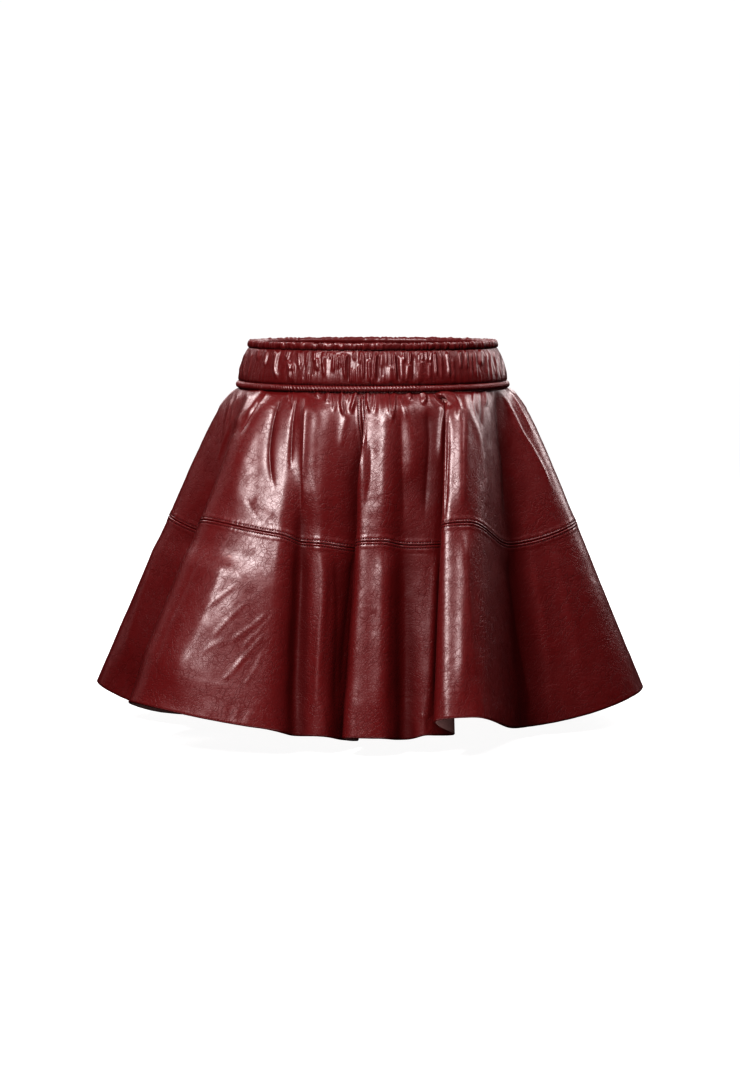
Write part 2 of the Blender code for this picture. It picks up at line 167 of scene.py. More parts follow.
# ---- creases of the front -------------------------------------------------
# points: across and down, along the crease; height: above the cloth, below 0 for
# a valley.  A ridge is round across and a valley is sharp.
Crease = namedtuple("Crease", "name points width height")
VALLEY_FOOT = 0.6               # radius at the bottom of a valley
VALLEY_SPREAD = 0.85            # how far a valley's sides reach, in its widths
RIDGE_REACH = 3.0               # widths beyond which a ridge no longer counts
VALLEY_REACH = 4.5
CREASE_START = 0.16             # share of a crease's length over which it rises
CREASE_END = 0.30               # and over which it fades out
CREASE_STEPS = 5                # steps from one of its points to the next
UPPER_CREASES = [
    Crease("a_edge_fold", ((-141, 8), (-146.5, 33), (-150.5, 55.5), (-160.5, 86.5)), 2.3, 0.8),
    Crease("a_edge_fold", ((-132, 4), (-139, 19.5), (-143, 39), (-152.5, 66)), 1.9, 0.8),
    Crease("b_outer_ridge", ((-121.5, 7), (-126.5, 22.5), (-131, 32), (-139, 47.5)), 4.3, 1.9),
    Crease("b_outer_ridge", ((-108, 4), (-114.5, 13.5), (-121.5, 26), (-129, 37)), 3.7, 1.7),
    Crease("b_outer_valley", ((-104, 5), (-114.5, 21.5), (-123.5, 36), (-134, 55.5)), 2.3, -1.6),
    Crease("b_broad_ridge", (
        (-97, 5), (-111, 20.5), (-123.5, 40), (-131, 66), (-137, 97), (-143, 138),
    ), 13.4, 3.0),
    Crease("b_inner_valley", (
        (-89.5, 8), (-97, 27), (-101.5, 47.5), (-103.5, 71), (-101, 95), (-95, 111),
    ), 2.9, -2.0),
    Crease("b_pucker", ((-82.5, 3), (-84.5, 17.5)), 1.5, 0.8),
    Crease("b_pucker", ((-78, 3), (-79.5, 27)), 1.5, 1.0),
    Crease("b_lobe", ((-62, 10.5), (-66, 45.5), (-67, 97), (-69, 148.5)), 9.3, 4.2),
    Crease("b_second_valley", ((-75, 10.5), (-79.5, 39), (-81, 66), (-82, 90.5)), 2.3, -1.8),
    Crease("b_sharp_ridge", (
        (-57.5, 4), (-63, 7.5), (-65, 15.5), (-66, 31), (-67, 55.5), (-69, 82.5),
        (-76, 117.5),
    ), 6.2, 2.2),
    Crease("b_cross_ridge", ((-120.5, 115.5), (-105, 124.5), (-87.5, 137)), 6.2, 0.5),
    Crease("b_cross_valley", ((-127.5, 115.5), (-119.5, 130), (-109, 144)), 2.3, -0.3),
    Crease("bb_swell", ((-53.5, 8), (-52.5, 45.5), (-52.5, 97), (-51.5, 153.5)), 16.5, 3.0),
    Crease("bb_ridge", (
        (-61, 4), (-63, 15.5), (-59.5, 24.5), (-54.5, 32), (-54.5, 42), (-56.5, 57.5),
        (-57.5, 93.5), (-54.5, 117.5), (-49.5, 148.5),
    ), 3.5, 0.35),
    Crease("bb_puff", ((-51.5, 3), (-55.5, 13.5)), 2.9, 1.8),
    Crease("bb_puff", ((-40, 3), (-44, 10.5), (-43.5, 19.5)), 2.1, 1.7),
    Crease("bb_puff", ((-39, 5), (-36.5, 18.5), (-37.5, 29)), 1.8, 0.8),
    Crease("tongue_left", ((-28, 3), (-29, 18.5), (-27, 29), (-23, 32)), 2, 2.0),
    Crease("tongue_right", ((-13, 3), (-17.5, 19.5), (-20.5, 30)), 2, 2.0),
    Crease("tongue_middle", ((-21, 4), (-23.5, 18.5)), 1.5, 0.7),
    Crease("tongue_tail", ((-23.5, 27), (-28, 45.5), (-30, 68)), 3.6, 0.6),
    Crease("c_puff", ((-2, 3), (-2, 16.5), (2, 30)), 2.1, 1.8),
    Crease("c_puff", ((4, 3), (3.5, 19.5), (3, 30)), 1.5, 0.9),
    Crease("c_ridge", ((10.5, 3), (9.5, 18.5), (9.5, 35)), 3.3, 0.8),
    Crease("c_broad_ridge", (
        (18.5, 3), (19.5, 35), (19, 66), (18.5, 117.5), (18.5, 160.5),
    ), 14.4, 4.0),
    Crease("cc_puff", ((17, 3), (19, 19.5), (21.5, 37)), 1.8, 1.2),
    Crease("cc_puff", ((25.5, 3), (24.5, 21.5), (21.5, 41)), 1.8, 1.3),
    Crease("cc_hollow", ((31, 24.5), (32, 66), (34, 117.5), (35, 148.5)), 6.7, -1.6),
    Crease("cc_bulge", ((37, 10.5), (41, 35), (44, 62), (43.5, 82.5), (41, 105)), 9.3, 2.8),
    Crease("cc_bulge_edge", ((30, 10.5), (34, 22.5), (38, 36)), 1.5, 0.7),
    Crease("cc_puff", ((39, 3), (42, 16.5)), 2.2, 1.5),
    Crease("cc_puff", ((51.5, 3), (56, 11.5), (54.5, 20.5)), 2.5, 2.0),
    Crease("cc_far_hollow", ((58.5, 18.5), (61, 55.5), (58.5, 97), (55.5, 143)), 7.2, -2.8),
    Crease("c_last_ridge", (
        (67, 4), (64, 10), (68, 16.5), (73.5, 21.5), (76, 27), (74.5, 36), (73, 55.5),
        (72, 84.5),
    ), 2.9, 1.3),
    Crease("d_lip_valley", ((81, 22.5), (81, 55.5), (80, 81.5), (76.5, 148.5)), 2.5, -1.6),
    Crease("d_pocket", ((72, 13.5), (79.5, 16.5), (84.5, 23.5)), 2.7, -1.8),
    Crease("d_hook_ridge", (
        (67, 7), (78.5, 8), (85.5, 10.5), (89.5, 16.5), (91, 29), (90.5, 39),
    ), 2.7, 2.0),
    Crease("d_broad_ridge", (
        (93.5, 10.5), (95.5, 35), (95, 66), (95, 117.5), (95.5, 142),
    ), 7.2, 3.5),
    Crease("d_flank_ridge", (
        (97, 3), (99, 19.5), (106, 37), (113.5, 55.5), (120.5, 97), (124.5, 136),
    ), 3.7, 0.9),
    Crease("d_flank_valley", ((103, 4), (107, 19.5), (118.5, 45.5), (127.5, 74)), 2.7, -0.9),
    Crease("de_pucker", ((108, 3), (106, 14.5), (110, 37)), 1.2, 0.8),
    Crease("de_pucker", ((116.5, 2), (119, 11.5), (118.5, 22.5)), 1.5, 0.9),
    Crease("de_line", ((113.5, 4), (115, 24.5), (114.5, 47.5)), 1.3, -0.9),
    Crease("de_valley", ((130, 3), (131, 30), (133, 55.5), (137, 86.5), (139, 148.5)), 2.3, -2.0),
    Crease("e_ridge", (
        (130, 3), (137, 10.5), (142, 19.5), (148.5, 32), (156.5, 48.5), (165, 62),
        (178, 86.5), (191.5, 117.5),
    ), 2.1, 1.3),
    Crease("e_side_ridge", ((142, 4), (150.5, 15.5), (159.5, 33), (169, 51.5)), 1.6, 0.9),
]
LOWER_CREASES = [
    Crease("a_flute", ((-216.5, 148.5), (-226.5, 189.5), (-242, 241), (-259.5, 303)), 5.2, 1.2),
    Crease("b_edge_valley", ((-170, 164), (-183.5, 200), (-206, 251.5), (-226.5, 313)), 6.2, -1.2),
    Crease("b_main_ridge", (
        (-145, 171), (-157.5, 210), (-175, 253.5), (-194.5, 294.5), (-208, 329.5),
    ), 8.2, 0.9),
    Crease("b_sheen_swell", (
        (-150.5, 167), (-162.5, 205), (-176, 236), (-192.5, 261.5), (-230.5, 325.5),
    ), 43.3, 6.0),
    Crease("b_slant", ((-173, 235), (-154.5, 220.5), (-133, 203)), 1.3, 0.5),
    Crease("b_slant", ((-162.5, 261.5), (-146.5, 243), (-121.5, 218.5)), 1.2, 0.45),
    Crease("b_slant", ((-145, 264.5), (-123.5, 249.5), (-100, 229.5)), 1.4, 0.6),
    Crease("b_slant", ((-134, 272), (-111, 249.5), (-88.5, 221.5)), 1.2, 0.45),
    Crease("b_slant", ((-142, 293.5), (-123.5, 274), (-105, 250.5)), 1.3, 0.5),
    Crease("b_slant", ((-152.5, 305), (-138, 290.5), (-127.5, 274)), 1.1, 0.4),
    Crease("b_slant", ((-131, 311), (-117.5, 290.5), (-109, 270)), 1.1, 0.4),
    Crease("b_slant", ((-172, 277), (-160.5, 268), (-145, 261.5)), 1.1, 0.4),
    Crease("bb_valley", ((-70, 164), (-72.5, 220.5), (-76, 282), (-79.5, 352.5)), 7.2, -2.6),
    Crease("bb_hollow", ((-37, 165), (-33, 220.5), (-34, 282), (-36, 354.5)), 10.3, -2.4),
    Crease("bb_flute", (
        (-49.5, 167), (-47, 208), (-51, 254.5), (-53.5, 292.5), (-55.5, 352.5),
    ), 4.6, 1.6),
    Crease("bb_hem_pucker", ((-49.5, 329.5), (-48, 342), (-45.5, 356.5)), 1.9, 0.6),
    Crease("c_side_valley", ((-16.5, 167), (-21.5, 220.5), (-26.5, 272), (-31, 333.5)), 3.6, -1.2),
    Crease("c_flute", (
        (16.5, 165), (15.5, 220.5), (14.5, 261.5), (12.5, 313), (10.5, 356.5),
    ), 9.3, 2.8),
    Crease("cc_valley", ((34, 167), (36, 220.5), (37, 282), (35, 354.5)), 8.2, -1.4),
    Crease("cc_flute", ((68, 166), (66, 210), (63.5, 261.5), (61, 317), (56.5, 352.5)), 4.1, 1.7),
    Crease("cc_hem_pucker", ((53.5, 336), (55.5, 346), (56.5, 359.5)), 1.6, 0.7),
    Crease("cc_hem_pucker", ((63, 336), (60.5, 346), (58.5, 359.5)), 1.4, -0.7),
    Crease("d_flute", ((98, 144), (97.5, 233), (96.5, 289.5), (95, 336)), 7.2, 2.8),
    Crease("d_second_flute", ((98, 179), (103, 241), (108, 313)), 3.6, 0.8),
    Crease("de_valley", ((141, 167), (147.5, 220.5), (155.5, 273), (169, 342)), 4.1, -2.0),
    Crease("e_flute", ((165, 164), (175, 220.5), (183.5, 282), (187.5, 344)), 5.2, 0.8),
    Crease("e_flute", ((187.5, 158.5), (202, 220.5), (216.5, 282), (224.5, 336)), 6.2, 0.8),
]

# ---- ruches of the casing's front -----------------------------------------
# top, middle, low: across, at the ruche's top end, middle and low end; start,
# stop: its ends as shares of the casing's height.
Ruche = namedtuple("Ruche", "top middle low start stop width height")
FRONT_RUCHES = [
    Ruche(-131.3, -133.1, -133.6, 0.10, 1.00, 0.8, 0.8),
    Ruche(-125.7, -129.6, -130.3, 0.05, 1.00, 0.9, 0.9),
    Ruche(-120.5, -123.8, -126.1, 0.10, 1.00, 0.9, 0.8),
    Ruche(-114.3, -116.4, -116.9, 0.00, 0.35, 1.3, 1.1),
    Ruche(-105.5, -108.5, -109.2, 0.00, 0.55, 1.5, 1.4),
    Ruche(-97.9, -99.6, -100.4, 0.00, 0.25, 1.2, 1.0),
    Ruche(-94.2, -97.9, -94.8, 0.00, 0.90, 2.1, 1.9),
    Ruche(-83.6, -87.5, -88.1, 0.00, 0.30, 1.3, 1.4),
    Ruche(-85.5, -83.4, -82.4, 0.25, 0.95, 1.6, 1.3),
    Ruche(-78.8, -78.5, -80, 0.38, 0.97, 1.2, 1.2),
    Ruche(-82.4, -81.4, -81.4, 0.35, 0.62, 3.3, 1.2),
    Ruche(-73.5, -72.8, -72.1, 0.00, 0.60, 1.2, 1.3),
    Ruche(-69.7, -71.1, -71.8, 0.00, 0.50, 1.1, 1.1),
    Ruche(-64.1, -65.9, -69.4, 0.00, 0.50, 1.2, 1.3),
    Ruche(-63.9, -64.1, -64.2, 0.65, 1.00, 1.1, 0.9),
    Ruche(-59.9, -59.9, -59.9, 0.68, 1.00, 0.9, 0.7),
    Ruche(-69, -69.2, -69.4, 0.78, 1.00, 0.9, 0.7),
    Ruche(-56.4, -57.7, -56.1, 0.02, 0.35, 1.2, 1.3),
    Ruche(-54.6, -54.1, -53.8, 0.20, 0.60, 2.3, 1.6),
    Ruche(-47.6, -49.4, -51, 0.02, 0.50, 1.3, 1.3),
    Ruche(-46.4, -47.4, -45.6, 0.10, 0.80, 1.8, 1.4),
    Ruche(-40.2, -41.2, -42.2, 0.03, 0.25, 1, 0.8),
    Ruche(-43.8, -42.8, -42.2, 0.03, 0.22, 0.9, 0.7),
    Ruche(-36.7, -37.6, -39.7, 0.03, 0.68, 1.5, 1.4),
    Ruche(-31.9, -33.4, -31.6, 0.10, 0.55, 1.3, 1.3),
    Ruche(-28.2, -29.9, -31.6, 0.05, 0.50, 1.2, 1.2),
    Ruche(-23.7, -26.2, -23.7, 0.05, 0.92, 1.3, 1.8),
    Ruche(-21.1, -22.7, -21.1, 0.05, 0.95, 1.2, -1.2),
    Ruche(-19.6, -19.6, -20.1, 0.45, 1.00, 1.5, 1.0),
    Ruche(-17, -16.5, -15.9, 0.50, 1.00, 1.2, 1.0),
    Ruche(-12.9, -11.8, -10.9, 0.40, 1.00, 1.3, 1.0),
    Ruche(-16.1, -16, -14.4, 0.00, 0.30, 1.1, 1.0),
    Ruche(-9, -10.8, -11.8, 0.00, 0.40, 1.3, 1.3),
    Ruche(-6.6, -6.8, -7.6, 0.03, 0.85, 1.1, 1.7),
    Ruche(-3.6, -2.1, -1.2, 0.00, 0.25, 0.9, 0.9),
    Ruche(2.3, 0, -1.2, 0.00, 0.25, 0.9, 0.9),
    Ruche(-1.2, -1, 0, 0.22, 1.00, 1.8, 1.6),
    Ruche(1, 1.6, 2.5, 0.75, 1.00, 1, 0.7),
    Ruche(7.2, 4.9, 6.5, 0.03, 0.88, 1.2, 1.9),
    Ruche(9.3, 8.2, 9.1, 0.08, 0.95, 1.3, -1.2),
    Ruche(12.4, 11.8, 11.8, 0.05, 0.50, 2.1, 0.9),
    Ruche(13.9, 13.8, 13.6, 0.70, 0.98, 0.9, 0.8),
    Ruche(17.5, 17.3, 17, 0.02, 0.35, 0.9, 0.9),
    Ruche(21.8, 21.2, 20.6, 0.02, 0.50, 1.1, 1.0),
    Ruche(21.6, 21.2, 21.1, 0.40, 1.00, 3.5, 1.5),
    Ruche(24.3, 26, 27.3, 0.02, 0.90, 1.1, 1.7),
    Ruche(28.1, 28.8, 29.9, 0.10, 0.95, 1.1, -1.2),
    Ruche(32.4, 33, 34.2, 0.10, 1.00, 2.7, 1.3),
    Ruche(34, 36.1, 38.1, 0.00, 0.35, 1, 1.1),
    Ruche(42.2, 40.5, 39.3, 0.02, 0.40, 1.1, 1.3),
    Ruche(39.3, 39.1, 37.1, 0.35, 1.00, 2.1, 1.2),
    Ruche(45.3, 44.8, 44.3, 0.10, 1.00, 1.2, -0.8),
    Ruche(53.8, 54.6, 55, 0.02, 0.30, 1.2, 1.4),
    Ruche(50.9, 50.5, 50.3, 0.10, 0.30, 0.9, 0.8),
    Ruche(51.5, 51.5, 51, 0.25, 1.00, 3.1, 1.3),
    Ruche(57.5, 59.3, 60.8, 0.00, 0.35, 1.1, 1.2),
    Ruche(63.2, 62.1, 61.1, 0.00, 0.35, 1.1, 1.1),
    Ruche(60.8, 61.3, 61.8, 0.35, 0.90, 1.9, 0.9),
    Ruche(66.1, 68, 68.6, 0.03, 0.80, 1.3, 1.6),
    Ruche(72.6, 73.6, 74.2, 0.10, 0.90, 1.3, 0.7),
    Ruche(78.4, 81, 81.6, 0.02, 0.85, 1.5, 1.7),
    Ruche(84.5, 86, 87, 0.20, 1.00, 1.5, 0.6),
    Ruche(91.4, 93.5, 94.3, 0.00, 0.60, 1.3, 1.4),
    Ruche(98.3, 99.7, 100.5, 0.00, 0.60, 1.2, 1.4),
    Ruche(103.5, 104.5, 105.1, 0.05, 0.90, 1, 0.8),
    Ruche(107.3, 108.8, 110.5, 0.05, 0.85, 1.1, 1.3),
    Ruche(113.1, 114.5, 115.4, 0.00, 0.50, 1.6, 1.5),
    Ruche(119.5, 120.5, 121.5, 0.10, 0.90, 1, 0.8),
    Ruche(122.6, 124.6, 126.1, 0.05, 1.00, 0.9, 0.8),
    Ruche(126.7, 129.8, 131.8, 0.05, 1.00, 0.9, 0.8),
    Ruche(130.8, 133.9, 135.7, 0.10, 1.00, 0.9, 0.8),
    Ruche(134.4, 137.5, 139.1, 0.20, 1.00, 0.8, 0.7),
]

# Sideways shifts of the cloth below the band, each round one place on the waist:
# degrees there, spread in degrees, shift in mm to the right, depth where it is
# strongest and how far it reaches.
Sway = namedtuple("Sway", "name waist spread shift depth reach")
SWAYS = [
    Sway("b_hook", 239, 6, 9.0, 0, 9),
    Sway("d_hook", 305, 8, -15.0, 0, 9),
    Sway("centre_seam_bow", 266.5, 4.5, 8.0, 82, 42),
]

# ---- the band -------------------------------------------------------------
# Sections through the band and its roll: height and half width of the oval, down
# the outside and then up the inside.
HEADER_OUTSIDE = [
    (23.0, 124.4), (24.0, 125.4), (24.0, 126.6), (22.9, 127.6), (21.0, 128.1), (19.2, 128.1),
    (17.9, 127.7),
]
CASING_OUTSIDE = [
    (17.0, 127.0), (16.3, 127.2), (15.2, 128.0), (13.0, 129.3), (10.0, 130.8), (6.0, 132.4),
    (2.0, 133.8), (-2.5, 135.3), (-6.6, 136.6), (-11.0, 137.6), (-14.9, 138.0), (-17.0, 137.2),
]
BAND_OUTSIDE = HEADER_OUTSIDE + CASING_OUTSIDE
BAND_INSIDE = [
    (-17.0, 131.4), (-8.0, 131.4), (2.0, 130.2), (12.0, 125.8), (16.5, 123.6), (22.6, 122.4),
]
ROLL_OUTSIDE = [
    (-17.2, 137.6), (-18.2, 139.2), (-19.9, 140.2), (-21.7, 140.3), (-23.2, 139.3), (-23.8, 137.4),
]
ROLL_INSIDE = [(-23.7, 134.0), (-20.5, 133.4), (-17.3, 133.6)]
GROOVE_Z = 17.0                 # the groove of the header's stitches
CASING_TOP_Z = 16.4
CASING_FOOT_Z = -17.0
CASING_HEIGHT = CASING_TOP_Z - CASING_FOOT_Z
BAND_STEPS = (0.46, 1.3)        # steps round the band, in front and behind
ROLL_STEPS = (0.42, 0.9)
RING_SEARCH = 20001             # places round the waist, from which the steps are picked
PUCKER_PITCH = 2.9              # from one pucker of the roll to the next
PUCKER_LEAN = 0.5               # sideways for each step up
PUCKER_HEIGHT = 1.0

# ---- sewing ---------------------------------------------------------------
STITCH_PITCH = 2.5
STITCH_LENGTH = 1.5
THREAD_RADIUS = 0.45
THREAD_SIDES = 5
THREAD_FLATNESS = 0.8
STITCH_HEIGHT = 0.05            # of the thread's middle above the leather
LEVEL_ROW_STEP = 1.5            # between the points that a row along the level seam follows
UPRIGHT_ROW_POINTS = 160
UPRIGHT_ROW_REACH = 14.0        # how far to each side of an upright seam the leather is worked out
UPRIGHT_ROW_TOP = 3.0           # the rows start this far under the band,
UPRIGHT_ROW_GAP = 4.5           # stop this far short of the level seam
UPRIGHT_ROW_END = 1.5           # and this far above the hem
HEADER_ROW_POINTS = 720
HEADER_ROW_FACING = (1.0, 1.6, 0.0)     # what turns a point of the oval into its direction outwards
HEADER_ROW_DEPTH = 0.2          # how deep the thread lies in the header's groove

# Rings along one stitch: place from its middle, in half lengths, girth in thread
# radii and height above the thread's line.
StitchRing = namedtuple("StitchRing", "place girth height")
STITCH_RINGS = [
    StitchRing(-1.0, 0.25, -0.25),
    StitchRing(-0.6, 1.0, 0.05),
    StitchRing(0.6, 1.0, 0.05),
    StitchRing(1.0, 0.25, -0.25),
]

# Section across a seam, the same on both sides: distance from the seam, spread
# and height of each ridge or groove.
SEAM_ROW_OFFSET = 2.8           # from a seam to each of its two rows of stitches
SeamRidge = namedtuple("SeamRidge", "name away spread height")
SEAM_SECTION = [
    SeamRidge("groove", 0.0, 0.45, -0.75),
    SeamRidge("turned_edge", 1.4, 0.75, 0.34),
    SeamRidge("stitch_channel", SEAM_ROW_OFFSET, 0.55, -0.3),
]
SEAM_ALLOWANCE = 8.0            # width and height of the leather turned back beside a seam
SEAM_ALLOWANCE_HEIGHT = 0.30
HEM_ALLOWANCE = 38.0            # turned up inside the hem
EDGE_ROUNDNESS = 0.8            # how far a cut edge bulges, in half thicknesses
HEM_LIFT = 10.0                 # how much higher the hem runs in the deep valley by the right seam
HEM_LIFT_SPREAD = 55.0
HEM_LIFT_ANGLE = 203.0


# ---- settings a user would change -----------------------------------------
class SkirtLeatherSettings(bpy.types.PropertyGroup):
    """Colours and finish of the leather."""

    burgundy: FloatVectorProperty(
        name="Leather colour",
        description="Colour of the smooth leather",
        subtype="COLOR",
        default=(0.084, 0.0064, 0.0070),
    )
    # Painted shade: this colour darkens the leather in its valleys; it is also the colour of the
    # cracks in the finish.
    deep_burgundy: FloatVectorProperty(
        name="Deep colour",
        description="Colour of the darker patches and of the cracks in the finish",
        subtype="COLOR",
        default=(0.052, 0.0016, 0.0020),
    )
    flesh_side: FloatVectorProperty(
        name="Underside colour",
        description="Colour of the leather's rough underside",
        subtype="COLOR",
        default=(0.34, 0.20, 0.19),
    )
    thread: FloatVectorProperty(
        name="Thread colour",
        description="Colour of the sewing thread",
        subtype="COLOR",
        default=(0.020, 0.0020, 0.0026),
    )
    roughness: FloatProperty(
        name="Roughness",
        description="Roughness of the smooth leather",
        subtype="FACTOR",
        min=0.05,
        max=1.0,
        default=0.40,
    )
    crinkle: FloatProperty(
        name="Crinkle depth",
        description="Depth of the fine cracks in the finish, in millimetres",
        min=0.0,
        max=1.0,
        default=0.20,
    )


class SkirtClothSettings(bpy.types.PropertyGroup):
    """Thickness and relief of the cloth."""

    thickness: FloatProperty(
        name="Leather thickness",
        description="Thickness of one layer of leather",
        unit="LENGTH",
        default=1.1 * MM,
    )
    hem_extra: FloatProperty(
        name="Hem allowance thickness",
        description="What the turned allowance adds above the hem",
        unit="LENGTH",
        default=0.7 * MM,
    )
    crease_strength: FloatProperty(
        name="Crease strength",
        description="Scales the height of all placed creases",
        min=0.0,
        max=3.0,
        default=1.0,
    )


class SkirtStageSettings(bpy.types.PropertyGroup):
    """Studio lights."""

    key_watts: FloatProperty(
        name="Key light",
        description="Power of the softbox high in front",
        unit="POWER",
        default=46.0,
    )
    side_watts: FloatProperty(
        name="Side light",
        description="Power of the softbox high on the right",
        unit="POWER",
        default=13.0,
    )
    right_watts: FloatProperty(
        name="Right light",
        description="Power of the softbox behind on the right",
        unit="POWER",
        default=9.0,
    )
    back_right_watts: FloatProperty(
        name="Back right light",
        description="Power of the softbox high behind on the right",
        unit="POWER",
        default=12.0,
    )
    back_left_watts: FloatProperty(
        name="Back left light",
        description="Power of the softbox high behind on the left",
        unit="POWER",
        default=12.0,
    )
    rim_watts: FloatProperty(
        name="Rim light",
        description="Power of the softbox low on the left",
        unit="POWER",
        default=1.2,
    )
    floor_card_watts: FloatProperty(
        name="Floor card",
        description="Power of the bounce card in front of the hem",
        unit="POWER",
        default=0.5,
    )
    room_glow: FloatProperty(
        name="Paper glow",
        description="Light given off by the floor and the paper round it",
        min=0.0,
        default=0.66,
    )
    dim_light: FloatProperty(
        name="Dim light",
        description="Strength of the even light from all sides",
        min=0.0,
        default=0.018,
    )


# The studio, in metres.  A softbox's power is the setting of its name.
Softbox = namedtuple("Softbox", "name place width height")
SOFTBOXES = [
    Softbox("key", (-0.49, -1.09, 1.11), 0.5, 0.95),
    Softbox("side", (0.89, -0.47, 1.26), 0.7, 0.7),
    Softbox("right", (1.16, 0.81, 0.58), 0.5, 1.0),
    Softbox("back_right", (0.67, 1.16, 0.95), 0.8, 0.8),
    Softbox("back_left", (-0.86, 1.03, 0.95), 0.8, 0.8),
    Softbox("rim", (-1.55, 0.39, 0.41), 0.8, 1.2),
]
LIGHT_AIM = (0.0, 0.0, -0.17)
LIGHT_COLOUR = (1.0, 0.94, 0.94)
FLOOR_CARD_PLACE = (-0.06, -0.33)
FLOOR_CARD_LIFT = 0.003
FLOOR_CARD_SIZE = (0.62, 0.17)
FLOOR_GAP = 0.007               # from the lowest hem down to the floor
FLOOR_RADII = (0.0, 0.4, 1.5, 3.0)      # rings of the level floor
PAPER_BEND = 1.0                # radius with which the floor turns up
PAPER_DOME = 2.5                # rise of the dome above that
PAPER_BEND_STEPS = 10
PAPER_SIDES = 64


# ---- numbers --------------------------------------------------------------
def soft_step(x):
    """0 below 0, 1 above 1 and smooth between."""
    x = np.clip(x, 0.0, 1.0)
    return x * x * (3.0 - 2.0 * x)


def bell(x):
    """1 at 0, falling smoothly to both sides."""
    return np.exp(-(x ** 2))


def unit(vectors):
    """The vectors, each made one long."""
    return vectors / np.linalg.norm(vectors, axis=-1, keepdims=True)


def running_total(steps):
    """0, and then the sum up to each step."""
    return np.concatenate([[0.0], np.cumsum(steps)])


def soft_noise(x, y, seed):
    """Smooth noise from -1 to 1 whose features are one unit across."""
    size = 128
    grid = np.random.default_rng(seed).uniform(-1.0, 1.0, (size, size))
    column = np.floor(x).astype(int)
    row = np.floor(y).astype(int)
    right = soft_step(x - column)
    up = soft_step(y - row)
    left_cell, right_cell = column % size, (column + 1) % size
    low_cell, high_cell = row % size, (row + 1) % size
    low = grid[left_cell, low_cell] * (1 - right) + grid[right_cell, low_cell] * right
    high = grid[left_cell, high_cell] * (1 - right) + grid[right_cell, high_cell] * right
    return low * (1 - up) + high * up


def solid_noise(points, sizes, seed):
    """Smooth noise from -1 to 1 in space.  sizes: of its features along x, y and z."""
    size = 64
    grid = np.random.default_rng(seed).uniform(-1.0, 1.0, (size, size, size))
    place = points / np.asarray(sizes, float)
    cell = np.floor(place).astype(int)
    share = soft_step(place - cell)
    total = np.zeros(points.shape[:-1])
    for corner in np.ndindex(2, 2, 2):
        weight = np.prod(np.where(corner, share, 1.0 - share), axis=-1)
        index = (cell + corner) % size
        total += weight * grid[index[..., 0], index[..., 1], index[..., 2]]
    return total


def tier_rows(tier):
    """The rows of a tier as shares of its length."""
    stretches = []
    for rows in TIER_ROWS[tier]:
        stretches.append(np.linspace(rows.start, rows.stop, rows.count, endpoint=rows.stop == 1.0))
    return np.concatenate(stretches)


def smooth_path(points, steps):
    """A Catmull-Rom curve through points, with a number of steps for each span."""
    points = np.array(points, float)
    padded = np.vstack([2 * points[0] - points[1], points, 2 * points[-1] - points[-2]])
    t = np.linspace(0.0, 1.0, steps, endpoint=False)[:, None]
    spans = []
    for k in range(len(points) - 1):
        a, b, c, d = padded[k : k + 4]
        span = 2 * b + (c - a) * t + (2 * a - 5 * b + 4 * c - d) * t ** 2
        spans.append((span + (3 * b - 3 * c + d - a) * t ** 3) / 2)
    return np.vstack([*spans, points[-1:]])


def path_lengths(points):
    """Distance along a path of points, at each of them."""
    return running_total(np.linalg.norm(np.diff(points, axis=0), axis=1))


def along_path(place, lengths, points):
    """The point, or points, at a place along a path.  lengths: where the path's points are."""
    return np.stack([np.interp(place, lengths, points[:, k]) for k in range(3)], axis=-1)


def relief(x, y, creases):
    """Sum of the heights of the creases at each place x, y: round ridges and sharp valleys."""
    total = np.zeros_like(x)
    for crease in creases:
        path = smooth_path(crease.points, CREASE_STEPS)
        reach = (RIDGE_REACH if crease.height > 0 else VALLEY_REACH) * crease.width
        low = path.min(axis=0) - reach
        high = path.max(axis=0) + reach
        near = (x > low[0]) & (x < high[0]) & (y > low[1]) & (y < high[1])
        if not near.any():
            continue
        legs = np.diff(path, axis=0)
        lengths = np.linalg.norm(legs, axis=1)
        starts = running_total(lengths)
        gap = np.full(near.sum(), np.inf)
        place = np.zeros(near.sum())
        for start, leg, length, before in zip(path, legs, lengths, starts):
            dx = x[near] - start[0]
            dy = y[near] - start[1]
            along = np.clip((dx * leg[0] + dy * leg[1]) / length, 0.0, length)
            away = (dx - leg[0] * along / length) ** 2 + (dy - leg[1] * along / length) ** 2
            place = np.where(away < gap, before + along, place)
            gap = np.minimum(gap, away)
        share = place / starts[-1]
        ends = soft_step(share / CREASE_START) * soft_step((1.0 - share) / CREASE_END)
        if crease.height > 0:
            section = np.exp(-gap / crease.width ** 2)
        else:
            depth = VALLEY_FOOT - np.sqrt(gap + VALLEY_FOOT ** 2)
            section = np.exp(depth / (VALLEY_SPREAD * crease.width))
        total[near] += crease.height * ends * section
    return total


# ---- the form, worked out as in the solids --------------------------------
def heading_vector(degrees):
    """Unit vector in plan for a heading, 0 along +X and 90 along +Y."""
    angle = math.radians(degrees)
    return np.array([math.cos(angle), math.sin(angle)])


def fold_stretch(fold, following):
    """Hem points from one fold up to the next, as a cubic Bezier."""
    start = np.array([fold.x, fold.y])
    stop = np.array([following.x, following.y])
    leave = start + fold.after * heading_vector(fold.heading)
    arrive = stop - following.before * heading_vector(following.heading)
    t = np.linspace(0.0, 1.0, SAMPLES_PER_FOLD, endpoint=False)[:, None]
    curve = (1 - t) ** 3 * start + 3 * (1 - t) ** 2 * t * leave
    return curve + 3 * (1 - t) * t ** 2 * arrive + t ** 3 * stop


